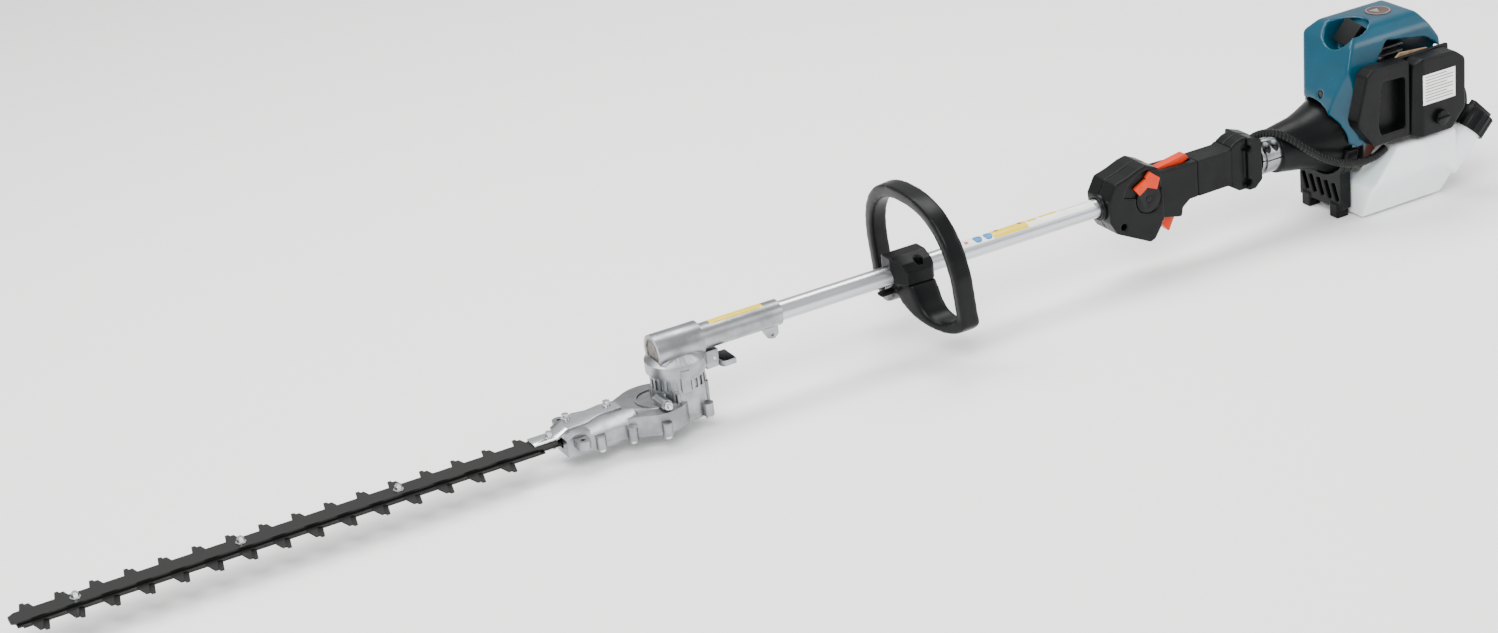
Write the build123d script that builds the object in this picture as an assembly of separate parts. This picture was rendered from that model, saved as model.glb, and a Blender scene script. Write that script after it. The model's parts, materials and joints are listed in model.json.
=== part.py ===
from build123d import *
from math import atan, cos, degrees, pi, radians, sin, sqrt, tan
import os

# Short-pole petrol hedge trimmer with a swivelling double-sided cutter head.
# Millimetres. The pole lies along X with its axis on Y = Z = 0. The cutter points to -X,
# the engine sits at +X, +Z is up and -Y is the side with the air cleaner.
# The origin is on the pole axis, at the hanging point just behind the head's pole socket.

# ---------------------------------------------------------------- clearances
RUN = 0.05          # radial clearance of a shaft in its bore
SLIDE = 0.1         # gap between sliding flat faces
GAP = 0.4           # air gap between bodies that must not touch
OPEN = 1.0          # roomy gap around a moving control

# ---------------------------------------------------------------- pole
POLE_R = 12.0
POLE_WALL = 1.5
POLE_FRONT_X = -131.0
POLE_REAR_X = 716.0
BUSH_LENGTH = 30.0
BUSH_COUNT = 3
SHAFT_R = 4.0

# ---------------------------------------------------------------- swivel and drive train
SWIVEL_X = -168.0
DRUM_R = 32.5
DRUM_WALL = 5.5
DRUM_TOP_Z = -17.0
SPIGOT_DEPTH = 31.0
CROSS_SHAFT_R = 6.0
BEVEL_MODULE = 1.4
BEVEL_PINION_TEETH = 14
BEVEL_GEAR_TEETH = 20
BEVEL_TOE = 0.65    # toe size as a share of the heel size
SPUR_MODULE = 0.75
SPUR_PINION_TEETH = 24
SPUR_GEAR_TEETH = 70
GEAR_FACE = 9.2
CRANK_THROW = 7.0
CRANK_PIN_R = 3.5
CRANK_AXLE_R = 5.0
DETENTS = 24        # lock notches around the drum, 15 degrees apart

# ---------------------------------------------------------------- cutter
BLADE_Z = -71.0     # plane between the two blades
BLADE_T = 2.0
BLADE_TIP_X = -966.0
BLADE_HALF = 15.0
TOOTH_TIP_Y = 34.0
TOOTH_PITCH = 38.5
TOOTH_ROOT = 14.0
TOOTH_TIP = 4.0
TEETH_FAR = 16
TEETH_NEAR = 15
FIRST_FAR_X = -942.0
FIRST_NEAR_X = -937.0
BLADE_OFFSET = 3.0  # each blade's rest offset from mid stroke
BAR_T = 4.0
BAR_HALF = 11.5
BAR_REAR_X = -331.0
BOLT_PITCH = 185.5
BOLT_REAR_X = -337.0
BOLT_COUNT = 4
BOLT_SLEEVE_R = 4.0
BOLT_HEAD_R = 7.5
BOLT_HEAD_T = 2.5
TAIL_HALF = 9.0
TAIL_REAR_X = -246.0
ROD_T = 3.0

# ---------------------------------------------------------------- gear case
CASE_TOP_Z = -58.0
CASE_SPLIT_Z = -80.0
CASE_BOTTOM_Z = -84.0
CASE_FRONT_X = -325.0
CASE_HALF = 23.5
CASE_ROUND_R = 43.5
CASE_FLARE_X = -250.0
CASE_ROOF = 4.5
CRANK_ROOM_R = 37.0
EAR_X = -309.0
EAR_SPACING = 65.0
EAR_R = 8.5
EAR_HOLE_R = 2.75
EAR_TOP_Z = -62.0
EAR_T = 10.0
SCREW_R = 2.5
SCREW_HEAD_R = 4.3
SCREW_HEAD_T = 3.5
CASE_BOSS_R = 6.2
STAY_T = 3.0
STAY_STEP_X = -314.0

# ---------------------------------------------------------------- pole holder
HOLDER_R = 21.0
HOLDER_FRONT_X = -196.0
HOLDER_STEP_X = -137.0
HOLDER_REAR_X = -31.0
HOLDER_TUBE_R = 15.8
HOLDER_BORE_R = 15.4
PLUG_R = 16.4
SKIRT_R = 36.5
SKIRT_BOTTOM_Z = -27.0
PLUG_T = 4.0
LEVER_PIVOT_X = -122.0
LEVER_PIVOT_Z = -28.0
LEVER_PIN_R = 2.0
LEVER_ARM_HALF = 5.0
LEVER_PAD_HALF = 14.0

# ---------------------------------------------------------------- loop handle
LOOP_X = 166.0
LOOP_DEPTH = 24.0
LOOP_TUBE = 16.0
LOOP_TOP_Z = 104.0
LOOP_HALF = 105.0
LOOP_SHOULDER_Z = -5.0      # below this height the loop's sides run straight down
LOOP_CORNER_Z = -45.0
LOOP_SQUARENESS = 2.4       # 2 would be an ellipse
LOOP_LEAN = 4.8
CLAMP_FRONT_X = 128.0
CLAMP_REAR_X = 170.0
STRAP_REAR_X = 182.0     # the arms' rear face at the loop's corners
CLAMP_SPLIT_Z = -7.5
CLAMP_HALF = 30.0
CLAMP_SCREW_Y = 21.0
CLAMP_SCREW_X = 153.0
CLAMP_FLOOR_Z = -26.0
CLAMP_SEAT_Z = 8.0
CAP_TOP_Z = 25.5
ARCH_STEPS = 16

# ---------------------------------------------------------------- trigger handle
HANDLE_FRONT_X = 426.0
HANDLE_REAR_X = 661.0
HOUSING_HALF = 24.0
GRIP_HALF = 17.0
GRIP_SKIN = 2.0
GRIP_FRONT_X = 566.0
GRIP_REAR_X = 618.0
CONTROL_HALF = 6.0
TRIGGER_PIVOT_X = 508.0
TRIGGER_PIVOT_Z = -21.0
LOCKOFF_PIVOT_X = 516.0
LOCKOFF_PIVOT_Z = 19.0
PIVOT_R = 2.0
SWITCH_X = 486.0
SWITCH_Z = 1.0
SWITCH_T = 3.0

# ---------------------------------------------------------------- engine
CLAMP_RING_X0 = 664.0
CLAMP_RING_R = 25.0
HOUSING_X0 = 692.0
HOUSING_X1 = 784.0
DRUM_X = 752.0      # clutch drum's front face
CLUTCH_R = 27.5
CRANK_R = 6.0
FLYWHEEL_X = 787.0
FLYWHEEL_R = 44.0
CRANKCASE_X0 = 812.0
CRANKCASE_X1 = 892.0
CRANKCASE_HALF = 37.0
CYLINDER_X = 852.0
BORE_R = 17.0
COVER_FRONT_X = 753.0
COVER_REAR_X = 925.0
COVER_HALF = 62.0
COVER_TOP_Z = 144.0
COVER_WALL = 2.5
COVER_ARCH_R = 53.0
COVER_SCREW_Y = -14.0
COVER_SCREW_Z = 62.0
COVER_SCREW_SEAT = 10.0
COVER_CORNER = 28.0
COVER_FAR_CORNER = 46.0
BOWL_R = 27.0
BOWL_FLOOR = 17.5
STARTER_X0 = 905.0
STARTER_X1 = 985.0
STARTER_R = 44.0
ROPE_X = 964.0
PULLEY_R = 28.0
FOOT_Z = -105.0
SHROUD_X0 = 770.0
SHROUD_X1 = 786.0
SHROUD_R = 59.0
SHROUD_SLOTS = 5
SHROUD_SLOT_PITCH = 15.0
SHROUD_SLOT_DEPTH = 12.0
SHROUD_SLOT_SLANT = -22.0
TANK_Z1 = -48.0
TANK_REAR_X = 925.0
AIR_Y = -95.0       # outer face of the air cleaner cover
AIR_FRAME_Y = -86.0 # outer face of the frame in front of it
CAP_R = 21.0
CAP_RIBS = 16
NECK_R = 18.5
NECK_LOW = -48.0
NECK_TOP = 19.0
TANK_WALL = 2.5
CONDUIT_R = 5.0
CHOKE_PIN_R = 2.5
PRIMER_R = 9.0


# ---------------------------------------------------------------- shape helpers
def block(x0, x1, y0, y1, z0, z1):
    return Pos((x0 + x1) / 2, (y0 + y1) / 2, (z0 + z1) / 2) * Box(x1 - x0, y1 - y0, z1 - z0)


def bar_x(x0, x1, r, y=0.0, z=0.0):
    return Pos((x0 + x1) / 2, y, z) * Rot(0, 90, 0) * Cylinder(r, x1 - x0)


def bar_y(y0, y1, r, x, z):
    return Pos(x, (y0 + y1) / 2, z) * Rot(90, 0, 0) * Cylinder(r, y1 - y0)


def bar_z(z0, z1, r, x, y=0.0):
    return Pos(x, y, (z0 + z1) / 2) * Cylinder(r, z1 - z0)


def face_of(points, rounding=0.0):
    """A flat face inside the closed outline through the points."""
    if rounding:
        outline = FilletPolyline(*points, radius=rounding, close=True)
    else:
        outline = Polyline(*points, close=True)
    return make_face(outline)


def slab_z(points, z0, z1, rounding=0.0):
    face = face_of([(x, y, z0) for x, y in points], rounding)
    return extrude(face, amount=z1 - z0, dir=(0, 0, 1))


def slab_y(points, y0, y1, rounding=0.0):
    face = face_of([(x, y0, z) for x, z in points], rounding)
    return extrude(face, amount=y1 - y0, dir=(0, 1, 0))


def slab_x(points, x0, x1, rounding=0.0):
    face = face_of([(x0, y, z) for y, z in points], rounding)
    return extrude(face, amount=x1 - x0, dir=(1, 0, 0))


def turned_x(points):
    """A solid turned about the pole axis from (x, radius) points."""
    return revolve(face_of([(x, 0, r) for x, r in points]), axis=Axis.X)


def hexagon_z(z0, z1, flats, x, y):
    return Pos(x, y, z0) * extrude(RegularPolygon(flats / sqrt(3), 6), amount=z1 - z0)


def export(name, shape):
    export_step(shape if isinstance(shape, Compound) else Compound(shape.solids()), f"parts/{name}.step")


def save(name, *shapes):
    solids = [solid for shape in shapes for solid in shape.solids()]
    export(name, solids[0] if len(solids) == 1 else Compound(solids))


# ---------------------------------------------------------------- gears
def tooth_outline(teeth, module, phase, addendum=0.8, dedendum=1.15, tip=0.30, pitch_share=0.42,
                  root=0.56):
    """Points (u, v) of a straight-sided gear outline; a tooth is centred on the phase angle."""
    pitch_r = module * teeth / 2
    step = 2 * pi / teeth
    rings = [
        (pitch_r - dedendum * module, -root / 2),
        (pitch_r, -pitch_share / 2),
        (pitch_r + addendum * module, -tip / 2),
        (pitch_r + addendum * module, tip / 2),
        (pitch_r, pitch_share / 2),
        (pitch_r - dedendum * module, root / 2),
    ]
    points = []
    for tooth in range(teeth):
        for radius, share in rings:
            angle = radians(phase) + (tooth + share) * step
            points.append((radius * cos(angle), radius * sin(angle)))
    return points


def spur_gear(teeth, module, phase, x, z0, z1):
    points = [(x + u, v) for u, v in tooth_outline(teeth, module, phase)]
    return slab_z(points, z0, z1)


def bevel_radii():
    return BEVEL_MODULE * BEVEL_PINION_TEETH / 2, BEVEL_MODULE * BEVEL_GEAR_TEETH / 2


def bevel_pinion_teeth():
    """Conical teeth on the pole axis, centred on -Z; the cones meet where the two shafts cross."""
    pinion_r, gear_r = bevel_radii()
    outline = tooth_outline(BEVEL_PINION_TEETH, BEVEL_MODULE, 0)
    faces = []
    for scale in (BEVEL_TOE, 1.0):
        points = [(SWIVEL_X + gear_r * scale, v * scale, -u * scale) for u, v in outline]
        faces.append(face_of(points))
    return loft(faces, ruled=True)


def bevel_gear_teeth():
    """Conical teeth on the cross shaft, with a gap centred on +X where the pinion's tooth enters."""
    pinion_r, gear_r = bevel_radii()
    outline = tooth_outline(BEVEL_GEAR_TEETH, BEVEL_MODULE, 180 / BEVEL_GEAR_TEETH)
    faces = []
    for scale in (1.0, BEVEL_TOE):
        points = [(SWIVEL_X + u * scale, v * scale, -pinion_r * scale) for u, v in outline]
        faces.append(face_of(points))
    return loft(faces, ruled=True)


SPUR_PINION_R = SPUR_MODULE * SPUR_PINION_TEETH / 2
CRANK_X = SWIVEL_X - SPUR_MODULE * (SPUR_PINION_TEETH + SPUR_GEAR_TEETH) / 2
GEAR_Z0 = BLADE_Z - GEAR_FACE / 2
GEAR_Z1 = BLADE_Z + GEAR_FACE / 2
ROOM_Z0 = CASE_SPLIT_Z
ROOM_Z1 = CASE_TOP_Z - CASE_ROOF
SPIGOT_Z = DRUM_TOP_Z - SPIGOT_DEPTH
DRUM_BORE_R = DRUM_R - DRUM_WALL
BEVEL_HUB_Z = -18.0


# ---------------------------------------------------------------- drive train pieces
def drive_shaft():
    pinion_r, gear_r = bevel_radii()
    return bar_x(SWIVEL_X + gear_r * BEVEL_TOE + 0.5, DRUM_X - 2, SHAFT_R)


def bevel_pinion():
    pinion_r, gear_r = bevel_radii()
    heel_x = SWIVEL_X + gear_r
    hub = bar_x(heel_x, POLE_FRONT_X - 3, 7.0)
    return bevel_pinion_teeth() + hub - bar_x(SWIVEL_X, POLE_FRONT_X, SHAFT_R)


def bevel_gear():
    pinion_r, gear_r = bevel_radii()
    hub = bar_z(BEVEL_HUB_Z, -pinion_r, 9.0, SWIVEL_X)
    return bevel_gear_teeth() + hub - bar_z(BEVEL_HUB_Z, 0, CROSS_SHAFT_R - 2, SWIVEL_X)


def cross_shaft():
    """The vertical shaft on the swivel axis, with the spur pinion cut on its lower end."""
    pinion_r, gear_r = bevel_radii()
    body = bar_z(GEAR_Z1, BEVEL_HUB_Z, CROSS_SHAFT_R, SWIVEL_X)
    top = bar_z(BEVEL_HUB_Z, -pinion_r * BEVEL_TOE - 0.5, CROSS_SHAFT_R - 2, SWIVEL_X)
    foot = bar_z(CASE_SPLIT_Z - 2, GEAR_Z0, CROSS_SHAFT_R - 1, SWIVEL_X)
    return body + top + foot + spur_gear(SPUR_PINION_TEETH, SPUR_MODULE, 180, SWIVEL_X, GEAR_Z0, GEAR_Z1)


def crank_angle():
    """The crank's rest angle, which puts the upper blade BLADE_OFFSET towards the tip."""
    return pi - atan(sqrt(CRANK_THROW**2 - BLADE_OFFSET**2) / BLADE_OFFSET)


def crank_gear():
    gap_phase = 180 / SPUR_GEAR_TEETH
    wheel = spur_gear(SPUR_GEAR_TEETH, SPUR_MODULE, gap_phase, CRANK_X, GEAR_Z0, GEAR_Z1)
    for angle in (20, 110, 200, 290):
        hole_x = CRANK_X + 18.5 * cos(radians(angle))
        hole_y = 18.5 * sin(radians(angle))
        wheel -= bar_z(GEAR_Z0, GEAR_Z1, 4.5, hole_x, hole_y)
    axle = bar_z(CASE_SPLIT_Z - 2, ROOM_Z1 + 2, CRANK_AXLE_R, CRANK_X)
    shape = wheel + axle
    rod_far = SLIDE / 2 + BLADE_T + 2 * ROD_T
    for sign, z0, z1 in ((1, GEAR_Z1, BLADE_Z + rod_far), (-1, BLADE_Z - rod_far, GEAR_Z0)):
        pin_x = CRANK_X + sign * CRANK_THROW * cos(crank_angle())
        pin_y = sign * CRANK_THROW * sin(crank_angle())
        shape += bar_z(z0, z1, CRANK_PIN_R, pin_x, pin_y)
    return shape


def blade_rod(side):
    """The plate that carries one crank pin to its blade; its eye leaves room for the whole throw."""
    shift = -side * BLADE_OFFSET
    face = BLADE_Z + side * (BLADE_T + SLIDE / 2)
    low, high = sorted((face, face + side * ROD_T))
    eye_low, eye_high = sorted((face + side * ROD_T, face + side * 2 * ROD_T))
    reach = 2 * CRANK_THROW + CRANK_PIN_R + GAP
    centre_x = CRANK_X + shift
    root_x = TAIL_REAR_X + shift
    tongue = block(root_x - 16, root_x + 2, -TAIL_HALF, TAIL_HALF, low, high)
    neck = block(root_x - 10, centre_x - reach, -TAIL_HALF, TAIL_HALF, eye_low, eye_high)
    half_y = CRANK_THROW + CRANK_PIN_R + GAP
    eye = block(centre_x - reach - ROD_T, centre_x + reach + ROD_T, -half_y - ROD_T, half_y + ROD_T,
                eye_low, eye_high)
    eye -= block(centre_x - reach, centre_x + reach, -half_y, half_y, eye_low, eye_high)
    return tongue + neck + eye


# ---------------------------------------------------------------- cutter pieces
def bolt_places():
    return [BOLT_REAR_X - number * BOLT_PITCH for number in range(BOLT_COUNT)]


def blade(side):
    """One comb of the cutter: side +1 is the upper blade, -1 the lower one."""
    shift = -side * BLADE_OFFSET
    low, high = sorted((BLADE_Z + side * SLIDE / 2, BLADE_Z + side * (SLIDE / 2 + BLADE_T)))
    rear_x = -352.0
    body = block(BLADE_TIP_X + 8 + shift, rear_x + shift, -BLADE_HALF, BLADE_HALF, low, high)
    tail = block(rear_x + shift, TAIL_REAR_X + shift, -TAIL_HALF, TAIL_HALF, low, high)
    shape = body + tail
    rows = ((1, FIRST_FAR_X, TEETH_FAR), (-1, FIRST_NEAR_X, TEETH_NEAR))
    for row, first_x, count in rows:
        for number in range(count):
            x = first_x + number * TOOTH_PITCH + shift
            points = [
                (x - TOOTH_ROOT / 2, row * (BLADE_HALF - 1)),
                (x - TOOTH_TIP / 2, row * TOOTH_TIP_Y),
                (x + TOOTH_TIP / 2, row * TOOTH_TIP_Y),
                (x + TOOTH_ROOT / 2, row * (BLADE_HALF - 1)),
            ]
            shape += slab_z(points if row < 0 else points[::-1], low, high)
    for x in bolt_places():
        width = BOLT_SLEEVE_R + GAP
        centre = x + shift
        shape -= block(centre - CRANK_THROW, centre + CRANK_THROW, -width, width, low, high)
        shape -= bar_z(low, high, width, centre - CRANK_THROW)
        shape -= bar_z(low, high, width, centre + CRANK_THROW)
    return shape


def bar_bottom():
    return BLADE_Z + SLIDE / 2 + BLADE_T + SLIDE


def guide_bar():
    points = [
        (BLADE_TIP_X, -6), (BLADE_TIP_X + 8, -BAR_HALF), (BAR_REAR_X, -BAR_HALF),
        (BAR_REAR_X, BAR_HALF), (BLADE_TIP_X + 8, BAR_HALF), (BLADE_TIP_X, 6),
    ]
    shape = slab_z(points, bar_bottom(), bar_bottom() + BAR_T)
    for x in bolt_places():
        shape -= bar_z(bar_bottom(), bar_bottom() + BAR_T, SCREW_R + 0.5, x)
    return shape


def stay_places():
    return [(-306.0, 19.0), (-254.0, 18.0)]


def guide_stay():
    """Stepped steel plate that ties the guide bar to the case roof."""
    bar_top = bar_bottom() + BAR_T
    front = slab_z([(-359, -9), (-329, -9), (-329, 12), (-359, 12)], bar_top, bar_top + STAY_T)
    ramp = slab_y(
        [(-330, bar_top), (STAY_STEP_X, CASE_TOP_Z), (STAY_STEP_X, CASE_TOP_Z + STAY_T),
         (STAY_STEP_X - 3, CASE_TOP_Z + STAY_T), (-330, bar_top + STAY_T)], -9, 12)
    rear = slab_z(
        [(STAY_STEP_X - 3, -9), (-290, -6), (-272, 1), (-243, 1), (-243, 22), (-262, 25), (-280, 22),
         (-296, 26),
         (STAY_STEP_X - 3, 12)],
        CASE_TOP_Z, CASE_TOP_Z + STAY_T)
    shape = front + ramp + rear
    shape -= bar_z(bar_top, bar_top + STAY_T, SCREW_R + 0.5, BOLT_REAR_X)
    for x, y in stay_places():
        shape -= bar_z(CASE_TOP_Z, CASE_TOP_Z + STAY_T, SCREW_R, x, y)
    return shape


def blade_bolts():
    bolts = []
    low = BLADE_Z - SLIDE / 2 - BLADE_T - SLIDE
    bar_top = bar_bottom() + BAR_T
    for x in bolt_places():
        top = bar_top + (STAY_T if x == BOLT_REAR_X else 0)
        bolt = bar_z(low - BOLT_HEAD_T, low, BOLT_HEAD_R, x)
        bolt += bar_z(low, bar_bottom(), BOLT_SLEEVE_R, x)
        bolt += bar_z(bar_bottom(), top, SCREW_R + 0.5, x)
        bolt += bar_z(top, top + 1, 6.0, x)
        bolt += hexagon_z(top + 1, top + 5, 8.0, x, 0)
        bolt += bar_z(top + 5, top + 7, SCREW_R + 0.5, x)
        bolts.append(bolt)
    for x, y in stay_places():
        roof_top = CASE_TOP_Z + STAY_T
        bolt = bar_z(CASE_TOP_Z - 3, roof_top, SCREW_R, x, y)
        bolt += bar_z(roof_top, roof_top + 1, 5.5, x, y)
        bolt += hexagon_z(roof_top + 1, roof_top + 5, 8.0, x, y)
        bolts.append(bolt)
    return bolts


# ---------------------------------------------------------------- gear case
def case_outline(z0, z1):
    front = slab_z(
        [(CASE_FRONT_X, -CASE_HALF), (CASE_FLARE_X, -CASE_HALF), (CRANK_X - 16, -CASE_ROUND_R + 3),
         (CRANK_X - 16, CASE_ROUND_R - 3), (CASE_FLARE_X, CASE_HALF), (CASE_FRONT_X, CASE_HALF)], z0, z1)
    return front + bar_z(z0, z1, CASE_ROUND_R, CRANK_X) + bar_z(z0, z1, DRUM_R, SWIVEL_X)


def case_screw_places():
    return [(-284.0, -25.0), (-284.0, 25.0), (-246.0, -30.0), (-246.0, 30.0),
            (CRANK_X - 6, -46.0), (CRANK_X - 6, 46.0), (-148.0, -31.0), (-148.0, 31.0)]


def crank_room(z0, z1):
    """Space inside the case for the crank, the rods, the pinion and the blade tails."""
    reach = 3 * CRANK_THROW + CRANK_PIN_R + 2 * GAP + 3
    room = bar_z(z0, z1, CRANK_ROOM_R, CRANK_X)
    room += bar_z(z0, z1, SPUR_PINION_R + 5, SWIVEL_X)
    room += block(TAIL_REAR_X - 16 - 2 * CRANK_THROW, CRANK_X - reach + 10, -TAIL_HALF - 3,
                  TAIL_HALF + 3, z0, z1)
    return room


def gear_case():
    shape = case_outline(CASE_SPLIT_Z, CASE_TOP_Z)
    chamfer_points = [(CASE_HALF + 1, CASE_TOP_Z - 9), (CASE_HALF + 1, CASE_TOP_Z + 1),
                      (CASE_HALF - 17, CASE_TOP_Z + 1)]
    near_chamfer = slab_x([(-y, z) for y, z in chamfer_points], CASE_FRONT_X + 30, CASE_FLARE_X + 18)
    shape -= near_chamfer
    shape -= slab_y(
        [(CASE_FRONT_X - 1, CASE_TOP_Z - 5.3), (STAY_STEP_X, CASE_TOP_Z), (STAY_STEP_X, CASE_TOP_Z + 1),
         (CASE_FRONT_X - 1, CASE_TOP_Z + 1)], -CASE_HALF - 1, CASE_HALF + 1)
    shape += bar_z(CASE_TOP_Z, DRUM_TOP_Z, DRUM_R, SWIVEL_X)
    for sign in (-1, 1):
        ear_y = sign * EAR_SPACING / 2
        ear_bottom = EAR_TOP_Z - EAR_T
        shape += bar_z(ear_bottom, EAR_TOP_Z, EAR_R, EAR_X, ear_y)
        shape += block(EAR_X - 8, EAR_X + EAR_R, *sorted((sign * 20.0, ear_y)), ear_bottom, EAR_TOP_Z)
        shape -= bar_z(ear_bottom, EAR_TOP_Z, EAR_HOLE_R, EAR_X, ear_y)
    for x, y in case_screw_places():
        shape += bar_z(CASE_SPLIT_Z, CASE_TOP_Z - 10, CASE_BOSS_R, x, y)
    shape += bar_y(-38, -14, 6.5, CRANK_X + 1, -51.5)
    for angle in (-150, -118, -35, -5, 60, 120, 165):
        rib_x = SWIVEL_X + (DRUM_R - 0.5) * cos(radians(angle))
        rib_y = (DRUM_R - 0.5) * sin(radians(angle))
        shape += bar_z(CASE_SPLIT_Z, -46.5, 3.0, rib_x, rib_y)
    arc = bar_z(CASE_TOP_Z, CASE_TOP_Z + 2.2, 25, CRANK_X + 4) - bar_z(CASE_TOP_Z, CASE_TOP_Z + 2.2,
                                                                       22.5, CRANK_X + 4)
    shape += arc
    shape -= crank_room(ROOM_Z0, ROOM_Z1)
    blade_low = BLADE_Z - BLADE_T - SLIDE - ROD_T - 1
    blade_high = BLADE_Z + BLADE_T + SLIDE + ROD_T + 1
    shape -= block(CASE_FRONT_X - 1, TAIL_REAR_X, -TAIL_HALF - 2, TAIL_HALF + 2, blade_low, blade_high)
    shape -= bar_z(SPIGOT_Z - GAP, DRUM_TOP_Z, DRUM_BORE_R, SWIVEL_X)
    shape -= bar_z(ROOM_Z1, SPIGOT_Z, CROSS_SHAFT_R + RUN, SWIVEL_X)
    shape -= bar_z(ROOM_Z1, ROOM_Z1 + 2 + GAP, CRANK_AXLE_R + RUN, CRANK_X)
    for number in range(DETENTS):
        angle = number * 360 / DETENTS
        notch = Pos(DRUM_R + 1.5, 0, -39) * Box(8.0, 4.0 + 2 * GAP, 12.0)
        shape -= Pos(SWIVEL_X, 0, 0) * Rot(0, 0, angle) * notch
    for x, y in case_screw_places():
        shape -= bar_z(CASE_SPLIT_Z, CASE_SPLIT_Z + 9, SCREW_R, x, y)
    for x, y in stay_places():
        shape -= bar_z(CASE_TOP_Z - 3, CASE_TOP_Z, SCREW_R, x, y)
    shape -= bar_y(-38, -30, 3.0, CRANK_X + 1, -51.5)
    return shape


def gear_case_cover():
    shape = case_outline(CASE_BOTTOM_Z, CASE_SPLIT_Z)
    for x, y in case_screw_places():
        shape += bar_z(CASE_BOTTOM_Z, CASE_SPLIT_Z, CASE_BOSS_R, x, y)
    for x, y in case_screw_places():
        shape -= bar_z(CASE_BOTTOM_Z, CASE_SPLIT_Z, SCREW_R, x, y)
    shape -= bar_z(CASE_SPLIT_Z - 2 - GAP, CASE_SPLIT_Z, CRANK_AXLE_R + RUN, CRANK_X)
    shape -= bar_z(CASE_SPLIT_Z - 2 - GAP, CASE_SPLIT_Z, CROSS_SHAFT_R - 1 + RUN, SWIVEL_X)
    return shape


def case_screws():
    screws = []
    for x, y in case_screw_places():
        head = bar_z(CASE_BOTTOM_Z - SCREW_HEAD_T, CASE_BOTTOM_Z, SCREW_HEAD_R, x, y)
        head -= hexagon_z(CASE_BOTTOM_Z - SCREW_HEAD_T, CASE_BOTTOM_Z - 1, 4.0, x, y)
        screws.append(head + bar_z(CASE_BOTTOM_Z, CASE_SPLIT_Z + 9, SCREW_R, x, y))
    return screws


def grease_nipples():
    """The bolt and nipple in the case's side boss."""
    side = bar_y(-38, -30, 3.0, CRANK_X + 1, -51.5)
    side += bar_y(-42, -38, 5.0, CRANK_X + 1, -51.5)
    side += bar_y(-47, -42, 2.6, CRANK_X + 1, -51.5)
    return [side]


# ---------------------------------------------------------------- pole holder
def pole_holder():
    pinion_r, gear_r = bevel_radii()
    shape = bar_x(HOLDER_FRONT_X, HOLDER_STEP_X, HOLDER_R) + bar_x(HOLDER_STEP_X, HOLDER_REAR_X,
                                                                   HOLDER_TUBE_R)
    shape += bar_z(DRUM_TOP_Z + GAP, 0, 19.0, SWIVEL_X)
    web = loft([
        Pos(SWIVEL_X, 0, DRUM_TOP_Z + 4) * Circle(SKIRT_R),
        Pos(SWIVEL_X, 0, -4) * Circle(HOLDER_R - 1),
    ])
    shape += web + bar_z(SKIRT_BOTTOM_Z, DRUM_TOP_Z + 4, SKIRT_R, SWIVEL_X)
    shape -= bar_z(SKIRT_BOTTOM_Z, DRUM_TOP_Z + GAP, DRUM_R + GAP, SWIVEL_X)
    shape += bar_z(SPIGOT_Z, DRUM_TOP_Z + GAP, DRUM_BORE_R - RUN, SWIVEL_X)
    # index tongue hanging from the skirt on the near side
    tongue = Pos(DRUM_R + GAP + 2.4, 0, -31) * Box(4.8, 11.0, 27.0)
    shape += Pos(SWIVEL_X, 0, 0) * Rot(0, 0, -100) * tongue
    # ear for the lock lever
    ear = block(SWIVEL_X + DRUM_R + GAP, LEVER_PIVOT_X + 5, -9, 9, -33, DRUM_TOP_Z)
    shape += ear
    shape -= block(SWIVEL_X + DRUM_R + GAP + 0.5, LEVER_PIVOT_X + 8, -LEVER_ARM_HALF - GAP,
                   LEVER_ARM_HALF + GAP, -50, -20)
    shape -= bar_z(-33, SKIRT_BOTTOM_Z, DRUM_R + GAP, SWIVEL_X) - bar_z(-33, SKIRT_BOTTOM_Z,
                                                                        DRUM_BORE_R + 1, SWIVEL_X)
    shape -= bar_y(-9, 9, LEVER_PIN_R, LEVER_PIVOT_X, LEVER_PIVOT_Z)
    # hanging lug under the rear end
    shape += slab_y([(-56, -13), (-47, -29), (-39, -31), (-33, -26), (-33, -13)], -3, 3, 2.0)
    shape -= bar_y(-3, 3, 2.2, -41.5, -25.5)
    # inside
    shape -= bar_x(HOLDER_FRONT_X, HOLDER_FRONT_X + PLUG_T, PLUG_R)
    shape -= bar_x(HOLDER_FRONT_X + PLUG_T, SWIVEL_X + gear_r + 8, HOLDER_BORE_R)
    shape -= bar_x(SWIVEL_X + gear_r + 8, POLE_FRONT_X, 7.0 + RUN)
    shape -= bar_x(POLE_FRONT_X, HOLDER_REAR_X, POLE_R)
    shape -= bar_z(BEVEL_HUB_Z - GAP, 0, gear_r + 2.2, SWIVEL_X)
    shape -= bar_z(SPIGOT_Z, BEVEL_HUB_Z, CROSS_SHAFT_R + RUN, SWIVEL_X)
    return shape


def end_plug():
    dish = bar_x(HOLDER_FRONT_X, HOLDER_FRONT_X + 1.2, PLUG_R - 2.5)
    return bar_x(HOLDER_FRONT_X, HOLDER_FRONT_X + PLUG_T, PLUG_R) - dish


def lock_lever():
    """Sprung lever whose tooth drops into a notch of the drum."""
    tip_x = SWIVEL_X + DRUM_R - 2.0
    arm = slab_y(
        [(-131.5, -41), (-131.5, -24.5), (-118, -24.5), (-114, -33), (-97, -33), (-97, -40), (-124, -41)],
        -LEVER_ARM_HALF, LEVER_ARM_HALF)
    handle = slab_z([(-116, -10), (-112, -LEVER_PAD_HALF), (-97, -LEVER_PAD_HALF), (-97, LEVER_PAD_HALF),
                     (-112, LEVER_PAD_HALF), (-116, 10)], -40, -33)
    tooth = block(tip_x, -131.5, -2.0, 2.0, -39.5, -34.5)
    return arm + handle + tooth - bar_y(-LEVER_ARM_HALF, LEVER_ARM_HALF, LEVER_PIN_R + RUN,
                                        LEVER_PIVOT_X, LEVER_PIVOT_Z)


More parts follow.
